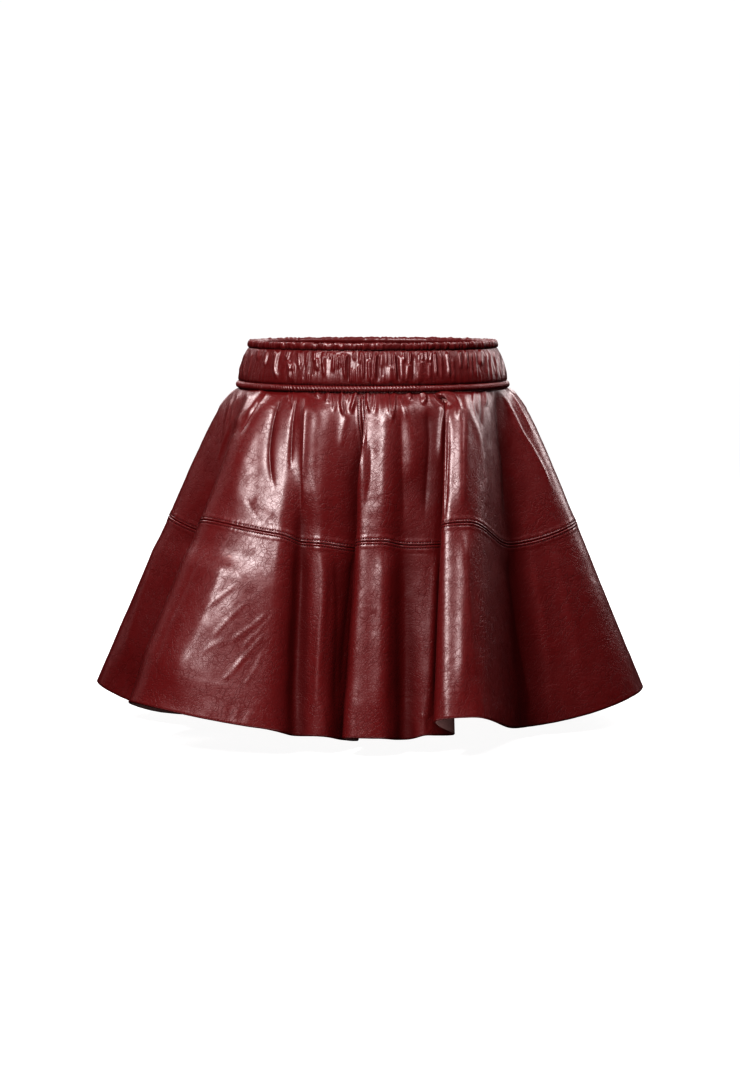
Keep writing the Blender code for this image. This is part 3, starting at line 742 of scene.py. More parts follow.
def smooth_steps(at, knots, values):
    """Monotone cubic through (knots, values) whose slopes repeat from end to end."""
    count = len(knots) - 1
    widths = np.diff(knots)
    rises = np.diff(values) / widths
    slopes = np.zeros(count + 1)
    for k in range(count + 1):
        left = rises[(k - 1) % count]
        right = rises[k % count]
        if left * right > 0:
            slopes[k] = 2 * left * right / (left + right)
    cell = np.clip(np.searchsorted(knots, at, side="right") - 1, 0, count - 1)
    t = (at - knots[cell]) / widths[cell]
    start = (2 * t ** 3 - 3 * t ** 2 + 1) * values[cell]
    start += (t ** 3 - 2 * t ** 2 + t) * widths[cell] * slopes[cell]
    stop = (3 * t ** 2 - 2 * t ** 3) * values[cell + 1]
    stop += (t ** 3 - t ** 2) * widths[cell] * slopes[cell + 1]
    return start + stop


class HemOutline:
    """The closed hem curve, read by the distance along it from the first fold."""

    search_steps = 8            # for each point, where a place on the waist is sought
    column_search = 6000        # steps across a panel, from which its columns are picked

    def __init__(self, folds):
        stretches = []
        for index, fold in enumerate(folds):
            stretches.append(fold_stretch(fold, folds[(index + 1) % len(folds)]))
        points = np.concatenate(stretches)
        self.points = np.vstack([points, points[:1]])
        self.distance = path_lengths(self.points)
        self.length = self.distance[-1]
        self.knots = self.distance[::SAMPLES_PER_FOLD]
        first = folds[0]
        self.waists = np.array([fold.waist for fold in folds] + [first.waist + TURN])
        self.launches = np.array([fold.launch for fold in folds] + [first.launch], float)
        self.tiers = np.array([fold.tier for fold in folds] + [first.tier], float)

    def point(self, distance):
        """Plan points of the hem."""
        distance = distance % self.length
        x = np.interp(distance, self.distance, self.points[:, 0])
        y = np.interp(distance, self.distance, self.points[:, 1])
        return np.stack([x, y], axis=1)

    def waist(self, distance):
        """Degrees round the waist oval that the cloth hangs from."""
        turns = np.floor(distance / self.length)
        return smooth_steps(distance - turns * self.length, self.knots, self.waists) + TURN * turns

    def launch(self, distance):
        """Angle from straight down, in radians, at which the cloth leaves the band."""
        return np.radians(smooth_steps(distance % self.length, self.knots, self.launches))

    def tier(self, distance):
        """Cut length of the upper tier."""
        return smooth_steps(distance % self.length, self.knots, self.tiers)

    def distance_of_waist(self, degrees):
        """Distance along the hem of the cloth that hangs from a place on the waist."""
        grid = np.linspace(0.0, self.length, self.search_steps * len(self.distance))
        wrapped = (degrees - self.waists[0]) % TURN + self.waists[0]
        return float(np.interp(wrapped, self.waist(grid[:-1]), grid[:-1]))

    def past(self, degrees, distances):
        """Distances along the hem past a place on the waist, less than 0 before it."""
        gap = distances - self.distance_of_waist(degrees)
        return (gap + self.length / 2) % self.length - self.length / 2

    def columns(self, panel, hem_step, waist_step):
        """Hem distances across a panel, close together along the hem and round the waist."""
        start = self.distance_of_waist(panel.start)
        stop = self.distance_of_waist(panel.stop)
        if stop <= start:
            stop += self.length
        grid = np.linspace(start, stop, self.column_search)
        waist = np.diff(self.waist(grid)) * math.tau / TURN * WAIST_HALF_WIDTH
        total = running_total(np.hypot(np.diff(grid) / hem_step, waist / waist_step))
        return np.interp(np.linspace(0.0, total[-1], math.ceil(total[-1]) + 1), total, grid)


OUTLINE = HemOutline(FOLDS)


def fall_of_cloth(distances, downs):
    """Middle surface of the cloth, as columns, rows and x, y, z.

    distances: along the hem, one for each column; downs: cut length from the
    waist seam, columns by rows.
    """
    angles = np.radians(OUTLINE.waist(distances))
    waist = np.stack([WAIST_HALF_WIDTH * np.cos(angles), WAIST_HALF_DEPTH * np.sin(angles)], axis=1)
    reach = OUTLINE.point(distances) - waist
    width = np.linalg.norm(reach, axis=1)
    outward = reach / width[:, None]
    launch = OUTLINE.launch(distances)
    along = np.linspace(0.0, CLOTH_LENGTH, FALL_STEPS)
    step = along[1]
    turn = np.exp(-along / LAUNCH_FADE)

    def run_and_drop(final):
        """Level run and drop along each column for its final angle."""
        angle = final[:, None] + (launch - final)[:, None] * turn[None, :]
        run = np.zeros_like(angle)
        drop = np.zeros_like(angle)
        run[:, 1:] = np.cumsum((np.sin(angle[:, 1:]) + np.sin(angle[:, :-1])) * step / 2, axis=1)
        drop[:, 1:] = np.cumsum((np.cos(angle[:, 1:]) + np.cos(angle[:, :-1])) * step / 2, axis=1)
        return run, drop

    low = np.full(len(distances), FALL_ANGLES[0])
    high = np.full(len(distances), FALL_ANGLES[1])
    for _ in range(FALL_HALVINGS):
        middle = (low + high) / 2
        too_far = run_and_drop(middle)[0][:, -1] > width
        high = np.where(too_far, middle, high)
        low = np.where(too_far, low, middle)
    run, drop = run_and_drop((low + high) / 2)
    surface = np.zeros((*downs.shape, 3))
    for column in range(len(distances)):
        runs = np.interp(downs[column], along, run[column])
        surface[column, :, 0] = waist[column, 0] + outward[column, 0] * runs
        surface[column, :, 1] = waist[column, 1] + outward[column, 1] * runs
        surface[column, :, 2] = WAIST_SEAM_Z - np.interp(downs[column], along, drop[column])
    around = ring_tangents(surface)
    places = ring_degrees(distances)
    for sway in SWAYS:
        aside = sway.shift * bell((places - sway.waist) / sway.spread)
        surface += around * (aside[:, None] * bell((downs - sway.depth) / sway.reach))[:, :, None]
    return surface


def ring_tangents(surface):
    """Unit vectors along the hem direction at each point of a sheet of columns."""
    return unit(np.gradient(surface, axis=0))


def outward_normals(surface):
    """Unit normals that point out of the skirt."""
    down = np.gradient(surface, axis=1)
    return unit(np.cross(down, ring_tangents(surface)))


def front_view(points):
    """Across and down, at real size, of points seen from the viewpoint."""
    offset = points - np.array(VIEWPOINT)
    depth = offset[..., 1] * math.cos(VIEW_PITCH) - offset[..., 2] * math.sin(VIEW_PITCH)
    rise = offset[..., 1] * math.sin(VIEW_PITCH) + offset[..., 2] * math.cos(VIEW_PITCH)
    return VIEW_DISTANCE * offset[..., 0] / depth, SEEN_WAIST - VIEW_DISTANCE * rise / depth


# ---- scattered creases, for the sides that the tables leave out -----------
def scattered_creases(seed, count, span, depths, lengths, widths, heights, lean):
    """Uneven upright creases: x runs along the ring and y goes down."""
    random = np.random.default_rng(seed)
    creases = []
    for index in range(count):
        x = span[0] + (index + random.uniform(0.1, 0.9)) * (span[1] - span[0]) / count
        y = random.uniform(*depths)
        length = random.uniform(*lengths)
        bow = random.uniform(-lean, lean)
        drift = random.uniform(-lean, lean)
        points = ((x, y), (x + bow, y + length / 2), (x + drift, y + length))
        width = random.uniform(*widths)
        height = random.uniform(*heights)
        creases.append(Crease("scattered", points, width, height))
    return creases


GATHER_CREASES = scattered_creases(
    seed=11,
    count=150,
    span=(4.0, 742.0),
    depths=(0.0, 3.0),
    lengths=(10.0, 46.0),
    widths=(1.3, 3.0),
    heights=(0.5, 1.5),
    lean=2.5,
)
BACK_RUCHES = scattered_creases(
    seed=71,
    count=64,
    span=(0.0, RING_ARC / 2),
    depths=(-2.0, 9.0),
    lengths=(12.0, 32.0),
    widths=(0.9, 2.4),
    heights=(0.7, 1.8),
    lean=1.6,
)


# ---- relief of the cloth --------------------------------------------------
# In the noise below, what divides a place is the size of the noise's features.
def seam_relief(away):
    """Two turned edges that meet in a groove, with a channel for each row of stitches."""
    section = sum(ridge.height * bell((away - ridge.away) / ridge.spread) for ridge in SEAM_SECTION)
    return section + SEAM_ALLOWANCE_HEIGHT * soft_step((SEAM_ALLOWANCE - away) / 3.5)


def seam_puckers(along, away, seed):
    """Short tucks that the stitches draw in beside a seam."""
    tuck = soft_noise(along / 1.6, away / 9.0, seed)
    tuck += 0.6 * soft_noise(along / 3.4, away / 14.0, seed + 1)
    return 0.18 * tuck * bell((away - 3.5) / 3.0)


def soft_wrinkles(points, seed):
    """Slight waviness and fine cross wrinkles of soft leather."""
    lumps = 0.32 * solid_noise(points, (17.0, 17.0, 26.0), seed)
    lumps += 0.12 * solid_noise(points, (7.0, 7.0, 9.0), seed + 1)
    patch = soft_step(0.2 + 1.6 * solid_noise(points, (30.0, 30.0, 45.0), seed + 2))
    bent = points + 2.5 * solid_noise(points, (9.0, 9.0, 9.0), seed + 3)[..., None]
    return lumps + 0.11 * patch * solid_noise(bent, (9.0, 9.0, 2.2), seed + 4)


def gather_relief(degrees, down, front):
    """Gathers drawn in under the band, fewer where the front has its own."""
    arc = RING_ARC * (degrees - RIGHT_SEAM) / TURN + 0.0 * down
    own = relief(arc, down, GATHER_CREASES)
    swell = soft_noise(arc / 9.0, down / 60.0, 21) * np.exp(-down / 30.0) * soft_step(down / 6.0)
    fine = soft_noise(arc / 1.5, down / 40.0, 22) * np.exp(-down / 11.0)
    at_seam = soft_step(np.minimum(arc, RING_ARC - arc) / 8.0)
    return at_seam * ((1.0 - front) * (own + 1.6 * swell + 0.15 * fine) + 0.07 * fine)


# Painted shade: the leather's colour is darkened by how deep each place lies in a valley, worked
# out below.
# How far to both sides along the hem a place is compared with its neighbours, and
# how much that comparison counts.
Reach = namedtuple("Reach", "away weight")
SHADE_REACHES = [Reach(14.0, 3.0), Reach(32.0, 3.0), Reach(55.0, 1.5)]
SHADE_THINNING = 4             # one column in so many is worked out, the rest lie between
SHADE_ROWS = 14
# These turn heights into shares of the painted shade.
CREASE_SHADE_FULL = 2.6               # height of a crease that makes up for one whole valley
RELIEF_SHADE_FULL = 1.5               # the same for the seams and wrinkles,
RUCHE_SHADE_FULL = 1.3                # and for the ruches and puckers of the band


# The depth worked out here darkens the leather as painted shade.
def form_hollow_shade(distances, downs):
    """How deep a place lies between its neighbours: about 1 in a fold's valley, -1 on its crest."""
    count = len(distances) // SHADE_THINNING + 2
    picked = np.unique(np.linspace(0, len(distances) - 1, count).astype(int))
    rows = np.unique(np.linspace(0, downs.shape[1] - 1, SHADE_ROWS).astype(int))
    few = distances[picked]
    deep = downs[picked][:, rows]
    surface = fall_of_cloth(few, deep)
    facing = outward_normals(surface)
    total = np.zeros_like(deep)
    for reach in SHADE_REACHES:
        left = fall_of_cloth(few - reach.away, deep)
        right = fall_of_cloth(few + reach.away, deep)
        chord = np.linalg.norm(right - left, axis=2) + 1.0
        proud = np.sum(((left + right) / 2 - surface) * facing, axis=2)
        total += reach.weight * proud / chord
    index = np.arange(downs.shape[1])
    wide = np.array([np.interp(index, rows, line) for line in total])
    return np.array([np.interp(distances, few, wide[:, row]) for row in index]).T


class Leather:
    """The dressed surface of a tier over a grid of hem distances and depths."""

    def __init__(self, tier, distances, downs, front):
        tiers = OUTLINE.tier(distances)[:, None]
        from_seam = np.abs(downs - tiers)
        surface = fall_of_cloth(distances, downs)
        degrees = ring_degrees(distances)[:, None]
        along = distances[:, None] + 0.0 * downs
        across, seen_down = front_view(surface)
        facing = outward_normals(surface)
        strength = bpy.context.scene.skirt_cloth.crease_strength
        towards = np.zeros_like(downs)
        if front:
            towards = soft_step((0.15 - facing[:, :, 1]) / 0.35)
        rise = np.zeros_like(downs)
        if tier == "upper":
            rise += gather_relief(degrees, downs, towards)
        if front:
            creases = UPPER_CREASES if tier == "upper" else LOWER_CREASES
            rise += strength * towards * relief(across, seen_down, creases)
        fine = soft_wrinkles(surface, seed=31)
        fine += seam_relief(from_seam) + seam_puckers(along, from_seam, seed=41)
        gaps = np.linalg.norm(np.gradient(surface, axis=0), axis=2)
        spacing = gaps / np.gradient(distances)[:, None]
        for seam in UPRIGHT_SEAMS:
            gap = np.abs(OUTLINE.past(seam, distances))
            fine += seam_relief(gap[:, None] * spacing) * soft_step((downs - 2.0) / 6.0)
        from_hem = CLOTH_LENGTH - downs
        wave = 1.5 * soft_noise(along / 30.0, 0.0 * along, 51)
        self.allowance = soft_step((HEM_ALLOWANCE + wave - from_hem) / 4.0)
        fine += 0.12 * self.allowance
        fine += 0.25 * soft_noise(along / 6.0, downs / 22.0, 52) * bell((from_hem - 8.0) / 14.0)
        self.middle = surface
        self.facing = facing
        self.rise = rise
        self.fine = fine
        self.place = np.stack([along, downs], axis=2)

    def layer(self, height):
        """Points at a height from the middle, with the whole relief on the outside alone."""
        lift = self.rise + height
        if np.all(np.asarray(height) > 0):
            lift = lift + self.fine
        return self.middle + self.facing * lift[:, :, None]


def ring_degrees(distances):
    """Degrees round the waist from the right seam on, for hem distances."""
    return (OUTLINE.waist(distances) - RIGHT_SEAM) % TURN + RIGHT_SEAM


def tier_grid(panel, tier, rows):
    """Hem distances and depths of a panel, with one column more at each side."""
    waist_step = panel.waist_step if tier == "upper" else LOWER_WAIST_STEP
    distances = OUTLINE.columns(panel, panel.hem_step, waist_step)
    first = distances[0] - SIDE_MARGIN
    last = distances[-1] + SIDE_MARGIN
    padded = np.concatenate([[first], distances, [last]])
    tiers = OUTLINE.tier(padded)[:, None]
    if tier == "upper":
        return padded, rows[None, :] * (tiers - SEAM_GAP / 2)
    top = tiers + SEAM_GAP / 2
    past = OUTLINE.past(HEM_LIFT_ANGLE, padded)[:, None]
    lift = HEM_LIFT * bell(past / HEM_LIFT_SPREAD)
    return padded, top + rows[None, :] * (CLOTH_LENGTH - lift - top)


def sheet_sizes(points):
    """Width of the widest row, length of the middle column and area, of a grid of points."""
    wide = np.linalg.norm(np.diff(points, axis=0), axis=2)
    long = np.linalg.norm(np.diff(points, axis=1), axis=2)
    area = (wide[:, 1:] + wide[:, :-1]) / 2 * (long[1:] + long[:-1]) / 2
    return wide.sum(axis=0).max(), long[len(long) // 2].sum(), area.sum()


# ---- meshes ---------------------------------------------------------------
def add_mesh(name, points, faces, places, materials, kinds=None, hollow=None):
    """A smooth mesh object, from points in millimetres and each point's place on the cloth."""
    mesh = bpy.data.meshes.new(name)
    mesh.from_pydata((np.asarray(points) * MM).tolist(), [], faces)
    layer = mesh.uv_layers.new(name="cloth")
    corners = np.zeros(len(mesh.loops), np.int32)
    mesh.loops.foreach_get("vertex_index", corners)
    layer.uv.foreach_set("vector", (np.asarray(places)[corners] * MM).astype(np.float32).ravel())
    # The hollow attribute says where the leather is darkened as painted shade.
    if hollow is not None:
        depth = mesh.attributes.new("hollow", "FLOAT", "POINT")
        depth.data.foreach_set("value", np.asarray(hollow, np.float32).ravel())
    for material in materials:
        mesh.materials.append(material)
    if kinds is not None:
        mesh.polygons.foreach_set("material_index", np.asarray(kinds, np.int32))
    mesh.shade_smooth()
    mesh.update()
    piece = bpy.data.objects.new(name, mesh)
    bpy.context.scene.collection.objects.link(piece)
    return piece


def grid_faces(columns, rows, first=0, closed=False, flip=False):
    """Quads between columns of points that run down, numbered from first."""
    ids = first + np.arange(columns * rows).reshape(columns, rows)
    right = np.roll(ids, -1, axis=0)
    if not closed:
        ids = ids[:-1]
        right = right[:-1]
    quads = np.stack([ids[:, :-1], ids[:, 1:], right[:, 1:], right[:, :-1]], axis=-1).reshape(-1, 4)
    if flip:
        quads = quads[:, ::-1]
    return quads.tolist()


def cloth_shell(name, outside, inside, place, hollow, inner_rows, materials):
    """A closed wall of leather: fine outside, plainer inside, and a rounded lower edge."""
    columns, rows = outside.shape[:2]
    inner = inside[:, inner_rows]
    inner_place = place[:, inner_rows]
    kept = inner.shape[1]
    edge = (outside[:, -1] + inside[:, -1]) / 2
    drop = unit(outside[:, -1] - outside[:, -2])
    half = np.linalg.norm(outside[:, -1] - inside[:, -1], axis=1, keepdims=True) / 2
    edge = edge + drop * half * EDGE_ROUNDNESS
    points = np.concatenate([outside.reshape(-1, 3), inner.reshape(-1, 3), edge])
    places = np.concatenate([place.reshape(-1, 2), inner_place.reshape(-1, 2), place[:, -1]])
    # Painted shade for each point; none on the inside.
    hollow_shades = np.concatenate([hollow.ravel(), np.zeros(columns * kept), hollow[:, -1]])
    inner_first = columns * rows
    edge_first = inner_first + columns * kept
    faces = grid_faces(columns, rows)
    outer_count = len(faces)
    faces += grid_faces(columns, kept, inner_first, flip=True)
    inner_count = len(faces) - outer_count
    outer = np.arange(columns * rows).reshape(columns, rows)
    inner_ids = inner_first + np.arange(columns * kept).reshape(columns, kept)
    for c in range(columns - 1):
        faces.append((inner_ids[c, 0], outer[c, 0], outer[c + 1, 0], inner_ids[c + 1, 0]))
        faces.append((outer[c, -1], edge_first + c, edge_first + c + 1, outer[c + 1, -1]))
        faces.append((edge_first + c, inner_ids[c, -1], inner_ids[c + 1, -1], edge_first + c + 1))
    faces.append((*inner_ids[0], edge_first, *outer[0][::-1]))
    faces.append((*outer[-1], edge_first + columns - 1, *inner_ids[-1][::-1]))
    faces = [tuple(int(v) for v in face) for face in faces]
    rim_count = len(faces) - outer_count - inner_count
    kinds = [0] * outer_count + [1] * inner_count + [0] * rim_count
    return add_mesh(name, points, faces, places, materials, kinds, hollow_shades)


def stitch_row(points, normals):
    """Points and faces of short threads laid end to end along a path on the leather."""
    sides = THREAD_SIDES
    length = path_lengths(points)
    places = np.array([ring.place for ring in STITCH_RINGS])
    girths = np.array([ring.girth for ring in STITCH_RINGS])
    heights = np.array([ring.height for ring in STITCH_RINGS])
    turns = np.linspace(0.0, math.tau, sides, endpoint=False)
    cosines = np.cos(turns)[None, :, None]
    sines = np.sin(turns)[None, :, None]
    all_points = []
    faces = []
    for index in range(int(length[-1] / STITCH_PITCH)):
        at = (index + 0.5) * STITCH_PITCH + places * STITCH_LENGTH / 2
        spine = along_path(at, length, points)
        out = unit(along_path(at, length, normals))
        run = spine[-1] - spine[0]
        run /= np.linalg.norm(run)
        across = np.cross(out, run)
        spine = spine + out * heights[:, None]
        rings = cosines * across[:, None] + THREAD_FLATNESS * sines * out[:, None]
        rings = spine[:, None] + THREAD_RADIUS * girths[:, None, None] * rings
        all_points.append(rings.reshape(-1, 3))
        first = index * len(STITCH_RINGS) * sides
        last = first + (len(STITCH_RINGS) - 1) * sides
        for start in range(first, last, sides):
            for side in range(sides):
                a = start + side
                b = start + (side + 1) % sides
                faces.append((a, b, b + sides, a + sides))
        faces.append(tuple(first + side for side in reversed(range(sides))))
        faces.append(tuple(last + side for side in range(sides)))
    return np.concatenate(all_points), faces


def join_stitches(name, rows, material):
    """One object from several rows of stitches."""
    points = []
    faces = []
    count = 0
    for row_points, row_faces in rows:
        faces += [tuple(v + count for v in face) for face in row_faces]
        points.append(row_points)
        count += len(row_points)
    points = np.concatenate(points)
    return add_mesh(name, points, faces, points[:, :2], [material])


# ---- nodes ----------------------------------------------------------------
class Wire:
    """A node socket that can be added, subtracted and multiplied like a number."""

    def __init__(self, nodes, socket):
        self.nodes = nodes
        self.socket = socket

    def math(self, operation, *others):
        """A Math node on this value and others."""
        values = dict(enumerate((self, *others)))
        return self.nodes.add("ShaderNodeMath", {"operation": operation}, values)

    def __add__(self, other):
        return self.math("ADD", other)

    __radd__ = __add__

    def __mul__(self, other):
        return self.math("MULTIPLY", other)

    __rmul__ = __mul__

    def __sub__(self, other):
        return self.math("SUBTRACT", other)

    def __rsub__(self, other):
        values = {0: other, 1: self}
        return self.nodes.add("ShaderNodeMath", {"operation": "SUBTRACT"}, values)

    def between(self, low, high):
        """0 where this is low or less, 1 where it is high or more, smooth between."""
        return self.nodes.add(
            "ShaderNodeMapRange",
            {"interpolation_type": "SMOOTHSTEP"},
            {"Value": self, "From Min": low, "From Max": high},
        )

    def moved(self, other):
        """This vector plus another."""
        return self.nodes.add("ShaderNodeVectorMath", {"operation": "ADD"}, {0: self, 1: other})

    def scaled(self, factor):
        """This vector times a number."""
        values = {0: self, "Scale": factor}
        return self.nodes.add("ShaderNodeVectorMath", {"operation": "SCALE"}, values)


class Nodes:
    """The node tree of one material."""

    def __init__(self, name):
        self.material = bpy.data.materials.new(name)
        self.material.use_nodes = True
        self.tree = self.material.node_tree
        self.tree.nodes.clear()

    def add(self, kind, settings, values, output=0):
        """Adds a node: its type, its settings, and a value or a link for each socket."""
        node = self.tree.nodes.new(kind)
        for key, value in settings.items():
            setattr(node, key, value)
        for key, value in values.items():
            if isinstance(value, Wire):
                self.tree.links.new(value.socket, node.inputs[key])
            else:
                node.inputs[key].default_value = value
        return Wire(self, node.outputs[output]) if node.outputs else None

    def mix(self, factor, first, second):
        """A colour mix.  first and second are colours of three numbers, or wires."""
        values = {"Factor_Float": factor}
        for key, colour in (("A_Color", first), ("B_Color", second)):
            values[key] = colour if isinstance(colour, Wire) else (*colour, 1.0)
        node = self.tree.nodes.new("ShaderNodeMix")
        node.data_type = "RGBA"
        for socket in node.inputs:
            if socket.identifier in values:
                value = values[socket.identifier]
                if isinstance(value, Wire):
                    self.tree.links.new(value.socket, socket)
                else:
                    socket.default_value = value
        for socket in node.outputs:
            if socket.identifier == "Result_Color":
                return Wire(self, socket)
        raise RuntimeError("the Mix node has no colour result")

    def place(self):
        """Where a point of the object is, in millimetres."""
        coordinates = self.add("ShaderNodeTexCoord", {}, {}, output="Object")
        return coordinates.scaled(1.0 / MM)

    def noise(self, place, size, detail=2.0, roughness=0.5):
        """Noise from 0 to 1 with features of a size in millimetres."""
        return self.add("ShaderNodeTexNoise", {}, {
            "Vector": place, "Scale": 1.0 / size, "Detail": detail, "Roughness": roughness,
        })

    def cracks(self, place, size, width):
        """Cracks between cells of a size in millimetres.  width: their share of a cell."""
        values = {"Vector": place, "Scale": 1.0 / size}
        edge = self.add("ShaderNodeTexVoronoi", {"feature": "DISTANCE_TO_EDGE"}, values)
        return 1 - edge.between(0.0, width)

    def stretched(self, place, lean, sizes):
        """Coordinates drawn out along a line that leans up from level by some degrees."""
        return self.add("ShaderNodeMapping", {"vector_type": "TEXTURE"}, {
            "Vector": place, "Rotation": (0.0, -math.radians(lean), 0.0), "Scale": sizes,
        })

    def lines(self, place, width):
        """Thin wandering lines where a noise passes its middle value."""
        away = (self.noise(place, 1.0, detail=1.0) - 0.5).math("ABSOLUTE")
        return 1 - away.between(0.0, width)

    def bump(self, height):
        """A normal from a height in millimetres."""
        return self.add("ShaderNodeBump", {}, {"Height": height, "Distance": MM, "Strength": 1.0})

    def finish(self, values):
        """Joins a shader with these values to the material's output."""
        shader = self.add("ShaderNodeBsdfPrincipled", {}, values)
        self.add("ShaderNodeOutputMaterial", {}, {"Surface": shader})
        return self.material


def burgundy_leather(settings):
    """Smooth semi-gloss leather with fine grain and a crackled, creased finish.

    The mesh says how deep in a valley each point lies: there shade is painted
    into the colour by darkening it, and the leather is duller and less cracked.
    """
    nodes = Nodes("burgundy_leather")
    place = nodes.place()
    values = {"Vector": place, "Scale": 1 / 11.0, "Detail": 2.0}
    warp = nodes.add("ShaderNodeTexNoise", {}, values, output="Color")
    warped = place.moved(warp.scaled(9.0))
    mottle = nodes.noise(place, 26.0, detail=3.0).between(0.25, 0.75)
    # Painted shade: the mesh's hollow attribute, made uneven by the mottle.
    depth = nodes.add("ShaderNodeAttribute", {"attribute_name": "hollow"}, {}, output="Fac")
    hollow = (depth + 0.35 * (mottle - 0.5)).between(-0.5, 1.0)
    thin = nodes.noise(place, 14.0).between(0.34, 0.58)
    patches = nodes.noise(place, 55.0, detail=2.0).between(0.42, 0.58)
    cracks = nodes.cracks(warped, 5.4, 0.10)
    fine_cracks = nodes.cracks(warped, 3.1, 0.14)
    slanted = nodes.lines(nodes.stretched(warped, 54.0, (46.0, 12.0, 6.5)), 0.030)
    level = nodes.lines(nodes.stretched(warped, 8.0, (19.0, 8.0, 3.4)), 0.045)
    slanted_place = nodes.noise(place, 70.0, detail=1.0).between(0.46, 0.56)
    grain = nodes.noise(place, 2.0, detail=2.0)
    lines = (cracks * thin).math("MAXIMUM", fine_cracks * patches * 0.55)
    lines = lines.math("MAXIMUM", slanted * slanted_place * 1.1)
    lines = lines.math("MAXIMUM", level * (1 - patches) * 0.6)
    lumps = nodes.noise(place, 11.0, detail=2.0)
    lines = lines * (1 - 0.45 * hollow)
    height = 0.20 * lumps - settings.crinkle * lines + 0.15 * grain
    # Painted shade: the colour darkens towards the shade colour in the valleys.
    colour = nodes.mix(hollow, settings.burgundy, settings.deep_burgundy)
    colour = nodes.mix(lines * 0.35, colour, settings.deep_burgundy)
    rough = settings.roughness + 0.08 * (mottle - 0.5) + 0.14 * lines + 0.10 * hollow
    return nodes.finish({
        "Base Color": colour,
        "Roughness": rough,
        "IOR": 1.5,
        "Specular IOR Level": 0.16,
        "Coat Weight": (0.70 - 0.62 * hollow) * (1 - 0.6 * lines),
        "Coat Roughness": 0.30,
        "Coat IOR": 1.5,
        "Normal": nodes.bump(height),
    })


def flesh_side(settings):
    """The dull, slightly hairy underside of the leather."""
    nodes = Nodes("leather_underside")
    place = nodes.place()
    mottle = nodes.noise(place, 5.0, detail=3.0)
    nap = nodes.noise(place, 0.7, detail=2.0)
    darker = tuple(0.6 * channel for channel in settings.flesh_side)
    colour = nodes.mix(mottle * 0.6, settings.flesh_side, darker)
    return nodes.finish({
        "Base Color": colour,
        "Roughness": 0.75 + 0.15 * nap,
        "Specular IOR Level": 0.25,
        "Normal": nodes.bump(0.12 * nap + 0.1 * mottle),
    })


def sewing_thread(settings):
    """Tone-in-tone twisted thread."""
    nodes = Nodes("sewing_thread")
    place = nodes.place()
    twist = nodes.noise(place, 0.35, detail=1.0)
    darker = tuple(0.5 * channel for channel in settings.thread)
    colour = nodes.mix(twist * 0.5, settings.thread, darker)
    return nodes.finish({
        "Base Color": colour,
        "Roughness": 0.65 + 0.1 * twist,
        "Specular IOR Level": 0.15,
        "Normal": nodes.bump(0.05 * twist),
    })


MATERIAL_MAKERS = {
    "burgundy_leather": burgundy_leather,
    "leather_underside": flesh_side,
    "sewing_thread": sewing_thread,
}


def material(name):
    """The material of that name, made the first time that it is asked for."""
    made = bpy.data.materials.get(name)
    if made is None:
        made = MATERIAL_MAKERS[name](bpy.context.scene.skirt_leather)
    return made


# ---- pieces ---------------------------------------------------------------
def make_tier(tier):
    """The four leather panels of a tier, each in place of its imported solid."""
    cloth = bpy.context.scene.skirt_cloth
    half = cloth.thickness / MM / 2
    hem_extra = cloth.hem_extra / MM
    rows = tier_rows(tier)
    inner = np.linspace(0, len(rows) - 1, INNER_ROWS).round().astype(int)
    for panel in PANELS:
        distances, downs = tier_grid(panel, tier, rows)
        leather = Leather(tier, distances, downs, panel.name.startswith("front"))
        # Painted shade: darker in the form's valleys and in the valleys of the creases, seams and
        # wrinkles, lighter on their crests.
        hollow = form_hollow_shade(distances, downs)
        hollow = hollow - leather.rise / CREASE_SHADE_FULL - leather.fine / RELIEF_SHADE_FULL
        outside = leather.layer(half)
        inside = leather.layer(-half - hem_extra * leather.allowance)
        side = ring_tangents(leather.middle) * SEAM_GAP / 2
        for layer in (outside, inside):
            layer[1] += side[1]
            layer[-2] -= side[-2]
        name = f"{tier}_{panel.name}"
        piece = cloth_shell(
            name + "_leather",
            outside[1:-1],
            inside[1:-1],
            leather.place[1:-1],
            hollow[1:-1],
            inner,
            (material("burgundy_leather"), material("leather_underside")),
        )
        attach(piece, "root")
        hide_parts(name)
        width, length, area = (size * MM for size in sheet_sizes(leather.middle[1:-1]))
        round(area * MM, 4)


def oval(angles, half_width, height):
    """Points at a height on ovals round the waist, as columns by rows."""
    depth = half_width - BAND_FLATNESS
    x = half_width * np.cos(angles)[:, None]
    y = depth * np.sin(angles)[:, None]
    return np.stack([x, y, height + 0.0 * x], axis=2)


def ring_angles(front_step, back_step):
    """Angles round the waist, from steps in millimetres in front and behind."""
    grid = np.linspace(0.0, math.tau, RING_SEARCH)
    speed = np.hypot(WAIST_HALF_WIDTH * np.sin(grid), WAIST_HALF_DEPTH * np.cos(grid))
    frontness = soft_step((0.12 - np.sin(grid)) / 0.24)
    need = speed / (back_step + (front_step - back_step) * frontness)
    total = running_total((need[1:] + need[:-1]) / 2 * np.diff(grid))
    count = math.ceil(total[-1])
    return np.interp(np.linspace(0.0, total[-1], count, endpoint=False), total, grid)


def ring_arc(angles, heights):
    """Length round the waist to each angle, as columns by rows like the heights."""
    return RING_ARC * angles[:, None] / math.tau + 0.0 * heights


def ring_normals(points):
    """Unit normals of a ring of columns whose rows run down the outside."""
    around = np.roll(points, -1, axis=0) - np.roll(points, 1, axis=0)
    down = np.gradient(points, axis=1)
    return unit(np.cross(down, around))


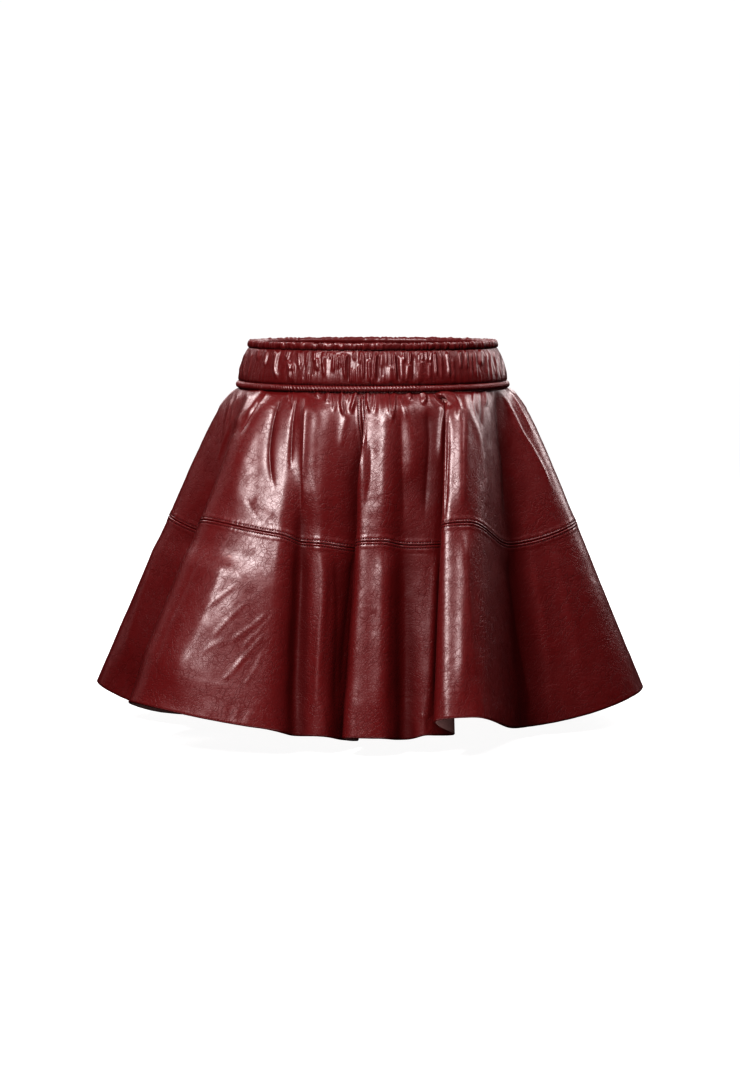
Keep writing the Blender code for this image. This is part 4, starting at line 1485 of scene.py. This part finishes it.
def ring_shell(name, outside, inside, hollow):
    """A closed ring of leather from rows down its outside and rows up its inside.

    hollow: how deep in a valley each point of the outside lies, to darken the leather there as
    painted shade.
    """
    points = np.concatenate([outside, inside], axis=1)
    columns, rows = points.shape[:2]
    ids = np.arange(columns * rows).reshape(columns, rows)
    right = np.roll(ids, -1, axis=0)
    below = np.roll(ids, -1, axis=1)
    corner = np.roll(right, -1, axis=1)
    faces = np.stack([ids, below, corner, right], axis=-1).reshape(-1, 4)
    flat = points.reshape(-1, 3)
    arc = np.arctan2(flat[:, 1], flat[:, 0]) * WAIST_HALF_WIDTH
    places = np.stack([arc, flat[:, 2]], axis=1)
    hollow = np.concatenate([hollow, np.zeros(inside.shape[:2])], axis=1)
    leather = material("burgundy_leather")
    return add_mesh(name, flat, faces.tolist(), places, [leather], hollow=hollow)


def front_ruches():
    """The front's ruches as creases: bowed from top through middle to low."""
    creases = []
    for ruche in FRONT_RUCHES:
        points = []
        for share in np.linspace(ruche.start, ruche.stop, 4):
            bend = 4.0 * share * (1.0 - share)
            straight = ruche.top + (ruche.low - ruche.top) * share
            x = straight + bend * (ruche.middle - (ruche.top + ruche.low) / 2)
            points.append((x, share * CASING_HEIGHT))
        creases.append(Crease("ruche", tuple(points), ruche.width, ruche.height))
    return creases


def ruche_relief(angles, points, front):
    """Ruches of the casing: the front's own, and scattered ones behind."""
    across = front_view(points)[0]
    share = (CASING_TOP_Z - points[..., 2]) / CASING_HEIGHT
    own = relief(across, share * CASING_HEIGHT, front_ruches())
    arc = ring_arc(angles, share)
    back = relief(arc, share * CASING_HEIGHT, BACK_RUCHES)
    back += 0.7 * soft_noise(arc / 4.2, share * 0.8, seed=61)
    fine = 0.22 * soft_noise(arc / 1.7, share * 2.2, seed=62)
    on_casing = soft_step((share + 0.02) / 0.06) * soft_step((1.04 - share) / 0.08)
    return on_casing * (front * own + (1.0 - front) * back + fine)


def header_relief(angles, heights):
    """Small gathers of the header above its row of stitches."""
    arc = ring_arc(angles, heights)
    on_header = soft_step((heights - CASING_TOP_Z) / 1.6)
    gathers = 0.7 * soft_noise(arc / 1.9, heights / 9.0, seed=63)
    gathers += 0.45 * soft_noise(arc / 4.6, heights / 14.0, seed=64)
    return on_header * gathers


def section_rows(section, steps):
    """A smooth run of heights and half widths through a section's points."""
    path = smooth_path(section, steps)
    return path[:, 0], path[:, 1]


def make_waistband():
    """The ruched casing with its header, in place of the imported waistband."""
    angles = ring_angles(*BAND_STEPS)
    heights, half_widths = section_rows(BAND_OUTSIDE, 4)
    outside = oval(angles, half_widths[None, :], heights[None, :])
    normals = ring_normals(outside)
    front = soft_step((0.25 - normals[:, :, 1]) / 0.5)
    lift = ruche_relief(angles, outside, front) + header_relief(angles, outside[:, :, 2])
    groove = -0.3 * bell((outside[:, :, 2] - GROOVE_Z) / 0.5)
    outside = outside + normals * (lift + groove)[:, :, None]
    heights, half_widths = section_rows(BAND_INSIDE, 2)
    inside = oval(angles, half_widths[None, :], heights[None, :])
    arc = ring_arc(angles, inside[:, :, 2])
    ripple = 0.35 * soft_noise(arc / 3.0, inside[:, :, 2] / 20.0, seed=65)
    inside[:, :, :2] *= (1.0 + ripple / WAIST_HALF_WIDTH)[:, :, None]
    # Painted shade: darker between the ruches and the header's gathers, and twice as dark in the
    # groove of the header's stitches.
    hollow = -(lift + 2.0 * groove) / RUCHE_SHADE_FULL
    piece = ring_shell("waistband_leather", outside, inside, hollow)
    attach(piece, "root")
    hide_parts("waistband")


def pucker_relief(angles, heights):
    """Slanted puckers that stitching draws across the roll."""
    arc = ring_arc(angles, heights)
    phase = (arc + PUCKER_LEAN * heights) / PUCKER_PITCH
    phase += 0.5 * soft_noise(arc / 9.0, heights / 30.0, seed=66)
    wave = np.abs(np.sin(math.pi * phase)) ** 0.7
    uneven = 0.8 + 0.3 * soft_noise(arc / 5.0, heights / 9.0, seed=67)
    return PUCKER_HEIGHT * (wave - 0.6) * uneven


def make_waist_roll():
    """The narrow puckered roll under the casing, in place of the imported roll."""
    angles = ring_angles(*ROLL_STEPS)
    heights, half_widths = section_rows(ROLL_OUTSIDE, 2)
    outside = oval(angles, half_widths[None, :], heights[None, :])
    puckers = pucker_relief(angles, outside[:, :, 2])
    outside = outside + ring_normals(outside) * puckers[:, :, None]
    heights, half_widths = section_rows(ROLL_INSIDE, 1)
    inside = oval(angles, half_widths[None, :], heights[None, :])
    # Painted shade: darker between the puckers, lighter on them.
    hollow = -(1.5 * puckers) / RUCHE_SHADE_FULL
    piece = ring_shell("waist_roll_leather", outside, inside, hollow)
    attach(piece, "root")
    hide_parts("waist_roll")


def level_stitches(tier, offset):
    """A row of stitches round the skirt beside the seam between the tiers."""
    distances = np.arange(0.0, OUTLINE.length, LEVEL_ROW_STEP)
    distances = np.append(distances, distances[0] + OUTLINE.length)
    tiers = OUTLINE.tier(distances)[:, None]
    downs = tiers + offset + np.array([-0.6, 0.0, 0.6])[None, :]
    leather = Leather(tier, distances, downs, True)
    half = bpy.context.scene.skirt_cloth.thickness / MM / 2
    return stitch_row(leather.layer(half + STITCH_HEIGHT)[:, 1], leather.facing[:, 1])


def upright_stitches(tier, seam, aside):
    """A row of stitches down a tier, to one side of an upright seam."""
    edge = OUTLINE.distance_of_waist(seam)
    distances = edge + np.linspace(-UPRIGHT_ROW_REACH, UPRIGHT_ROW_REACH, 57)
    length = float(OUTLINE.tier(np.array([edge]))[0])
    start, stop = length + UPRIGHT_ROW_GAP, CLOTH_LENGTH - UPRIGHT_ROW_END
    if tier == "upper":
        start, stop = UPRIGHT_ROW_TOP, length - UPRIGHT_ROW_GAP
    downs = np.linspace(start, stop, UPRIGHT_ROW_POINTS)[None, :] + 0.0 * distances[:, None]
    leather = Leather(tier, distances, downs, seam == FRONT_SEAM)
    half = bpy.context.scene.skirt_cloth.thickness / MM / 2
    layer = leather.layer(half + STITCH_HEIGHT)
    middle = len(distances) // 2
    points = []
    normals = []
    for row in range(layer.shape[1]):
        reach = path_lengths(leather.middle[:, row])
        reach -= reach[middle]
        points.append(along_path(aside, reach, layer[:, row]))
        normals.append(along_path(aside, reach, leather.facing[:, row]))
    return stitch_row(np.array(points), np.array(normals))


def header_stitches():
    """The row of stitches in the groove under the header."""
    angles = np.linspace(0.0, math.tau, HEADER_ROW_POINTS)
    heights, half_widths = section_rows(BAND_OUTSIDE, 4)
    groove = np.interp(-GROOVE_Z, -heights, half_widths)
    rows = np.array([GROOVE_Z + 0.3, GROOVE_Z, GROOVE_Z - 0.3])
    points = oval(angles, groove + 0.0 * rows[None, :], rows[None, :])
    normals = unit(points[:, 1] * HEADER_ROW_FACING)
    return stitch_row(points[:, 1] - HEADER_ROW_DEPTH * normals, normals)


def make_stitching():
    """Thread along the seams and under the header."""
    rows = {
        "tier_seam_stitches": [
            level_stitches("upper", -SEAM_ROW_OFFSET),
            level_stitches("lower", SEAM_ROW_OFFSET),
        ],
        "upright_seam_stitches": [
            upright_stitches(tier, seam, aside)
            for tier in ("upper", "lower")
            for seam in UPRIGHT_SEAMS
            for aside in (-SEAM_ROW_OFFSET, SEAM_ROW_OFFSET)
        ],
        "header_stitches": [header_stitches()],
    }
    for name, parts in rows.items():
        piece = join_stitches(name, parts, material("sewing_thread"))
        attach(piece, "root")


# ---- stage ----------------------------------------------------------------
def aim(thing, target):
    """Turns a light or camera towards a point."""
    thing.rotation_euler = (Vector(target) - thing.location).to_track_quat("-Z", "Y").to_euler()


def add_softbox(name, place, target, size, watts):
    """A rectangular area light, unseen itself."""
    light = bpy.data.lights.new(name, "AREA")
    light.shape = "RECTANGLE"
    light.size, light.size_y = size
    light.energy = watts
    light.color = LIGHT_COLOUR
    thing = bpy.data.objects.new(name, light)
    thing.location = place
    aim(thing, target)
    thing.visible_camera = False
    bpy.context.scene.collection.objects.link(thing)


def studio_paper(glow):
    """Matt white paper that gives off a little light."""
    nodes = Nodes("studio_paper")
    mottle = nodes.noise(nodes.place(), 300.0)
    return nodes.finish({
        "Base Color": nodes.mix(mottle, (0.31, 0.31, 0.31), (0.29, 0.29, 0.29)),
        "Roughness": 0.9,
        "Specular IOR Level": 0.1,
        "Emission Color": (1.0, 1.0, 1.0, 1.0),
        "Emission Strength": glow,
    })


def make_paper_room(floor, glow):
    """A round paper floor at a height in metres that turns up into a closed dome."""
    turns = np.linspace(0.0, math.pi / 2, PAPER_BEND_STEPS)[1:]
    wide = FLOOR_RADII[-1] + PAPER_BEND
    bend = FLOOR_RADII[-1] + PAPER_BEND * np.sin(turns)
    radii = np.concatenate([FLOOR_RADII, bend, wide * np.cos(turns)])
    heights = np.concatenate([
        np.zeros(len(FLOOR_RADII)),
        PAPER_BEND * (1.0 - np.cos(turns)),
        PAPER_BEND + PAPER_DOME * np.sin(turns),
    ])
    around = np.linspace(0.0, math.tau, PAPER_SIDES, endpoint=False)[:, None]
    x = radii * np.cos(around)
    y = radii * np.sin(around)
    points = np.stack([x, y, floor + heights + 0.0 * around], axis=2) / MM
    faces = grid_faces(len(points), len(radii), closed=True)
    flat = points.reshape(-1, 3)
    paper = add_mesh("paper_room", flat, faces, flat[:, :2], [studio_paper(glow)])
    paper.visible_glossy = False
    paper.visible_diffuse = False
    paper.visible_shadow = False


def make_lights(floor):
    """The softboxes, the bounce card on the floor and the dim even light."""
    scene = bpy.context.scene
    stage = scene.skirt_stage
    for box in SOFTBOXES:
        size = (box.width, box.height)
        watts = getattr(stage, box.name + "_watts")
        add_softbox(box.name + "_softbox", box.place, LIGHT_AIM, size, watts)
    card = (*FLOOR_CARD_PLACE, floor + FLOOR_CARD_LIFT)
    straight_up = (*FLOOR_CARD_PLACE, 1.0)
    add_softbox("floor_card", card, straight_up, FLOOR_CARD_SIZE, stage.floor_card_watts)
    world = bpy.data.worlds.new("dim_studio")
    world.use_nodes = True
    background = world.node_tree.nodes["Background"]
    background.inputs["Color"].default_value = (1.0, 1.0, 1.0, 1.0)
    background.inputs["Strength"].default_value = stage.dim_light
    world.cycles_visibility.glossy = False
    scene.world = world


def make_camera():
    """The camera at the viewpoint, and how its picture is developed."""
    scene = bpy.context.scene
    camera = bpy.data.cameras.new("front_camera")
    camera.lens = LENS_MM
    thing = bpy.data.objects.new("front_camera", camera)
    thing.location = VIEWPOINT * MM
    thing.rotation_euler = (math.pi / 2 - VIEW_PITCH, 0.0, 0.0)
    scene.collection.objects.link(thing)
    scene.camera = thing
    scene.view_settings.view_transform = "Standard"
    scene.view_settings.look = "High Contrast"


def make_stage():
    """White paper all round, lights and the camera."""
    floor = CAD_BOX[0].z - FLOOR_GAP
    make_paper_room(floor, bpy.context.scene.skirt_stage.room_glow)
    make_lights(floor)
    make_camera()


# ---- operators and panel --------------------------------------------------
class SKIRT_OT_waistband(bpy.types.Operator):
    """Make the ruched waistband with its header"""

    bl_idname = "skirt.waistband"
    bl_label = "Waistband"

    def execute(self, context):
        make_waistband()
        return {"FINISHED"}


class SKIRT_OT_waist_roll(bpy.types.Operator):
    """Make the puckered roll under the waistband"""

    bl_idname = "skirt.waist_roll"
    bl_label = "Waist roll"

    def execute(self, context):
        make_waist_roll()
        return {"FINISHED"}


class SKIRT_OT_upper_tier(bpy.types.Operator):
    """Make the four gathered panels of the upper tier"""

    bl_idname = "skirt.upper_tier"
    bl_label = "Upper tier"

    def execute(self, context):
        make_tier("upper")
        return {"FINISHED"}


class SKIRT_OT_lower_tier(bpy.types.Operator):
    """Make the four flared panels of the lower tier"""

    bl_idname = "skirt.lower_tier"
    bl_label = "Lower tier"

    def execute(self, context):
        make_tier("lower")
        return {"FINISHED"}


class SKIRT_OT_stitching(bpy.types.Operator):
    """Sew the rows of stitches"""

    bl_idname = "skirt.stitching"
    bl_label = "Stitching"

    def execute(self, context):
        make_stitching()
        return {"FINISHED"}


class SKIRT_OT_stage(bpy.types.Operator):
    """Set up the paper room, the lights and the camera"""

    bl_idname = "skirt.stage"
    bl_label = "Stage"

    def execute(self, context):
        make_stage()
        return {"FINISHED"}


class SKIRT_PT_sidebar(bpy.types.Panel):
    """Lists the skirt's settings and its pieces"""

    bl_idname = "SKIRT_PT_sidebar"
    bl_label = "Leather skirt"
    bl_space_type = "VIEW_3D"
    bl_region_type = "UI"
    bl_category = "Skirt"

    def draw(self, context):
        for group in GROUPS:
            settings = getattr(context.scene, group)
            box = self.layout.box()
            for name in settings.__annotations__:
                box.prop(settings, name)
        for operator in OPERATORS:
            self.layout.operator(operator.bl_idname)


OPERATORS = [
    SKIRT_OT_waist_roll,
    SKIRT_OT_waistband,
    SKIRT_OT_upper_tier,
    SKIRT_OT_lower_tier,
    SKIRT_OT_stitching,
    SKIRT_OT_stage,
]
GROUPS = {
    "skirt_leather": SkirtLeatherSettings,
    "skirt_cloth": SkirtClothSettings,
    "skirt_stage": SkirtStageSettings,
}


def register():
    """Registers the settings, the operators and the panel."""
    for name, group in GROUPS.items():
        bpy.utils.register_class(group)
        setattr(bpy.types.Scene, name, PointerProperty(type=group))
    for each in (*OPERATORS, SKIRT_PT_sidebar):
        bpy.utils.register_class(each)


def unregister():
    """Takes away what register added."""
    for each in reversed((*OPERATORS, SKIRT_PT_sidebar)):
        bpy.utils.unregister_class(each)
    for name, group in reversed(GROUPS.items()):
        delattr(bpy.types.Scene, name)
        bpy.utils.unregister_class(group)


def main():
    """Makes every piece and the stage."""
    register()
    bpy.ops.skirt.waist_roll()
    bpy.ops.skirt.waistband()
    bpy.ops.skirt.upper_tier()
    bpy.ops.skirt.lower_tier()
    bpy.ops.skirt.stitching()
    bpy.ops.skirt.stage()


if __name__ == "__main__":
    main()
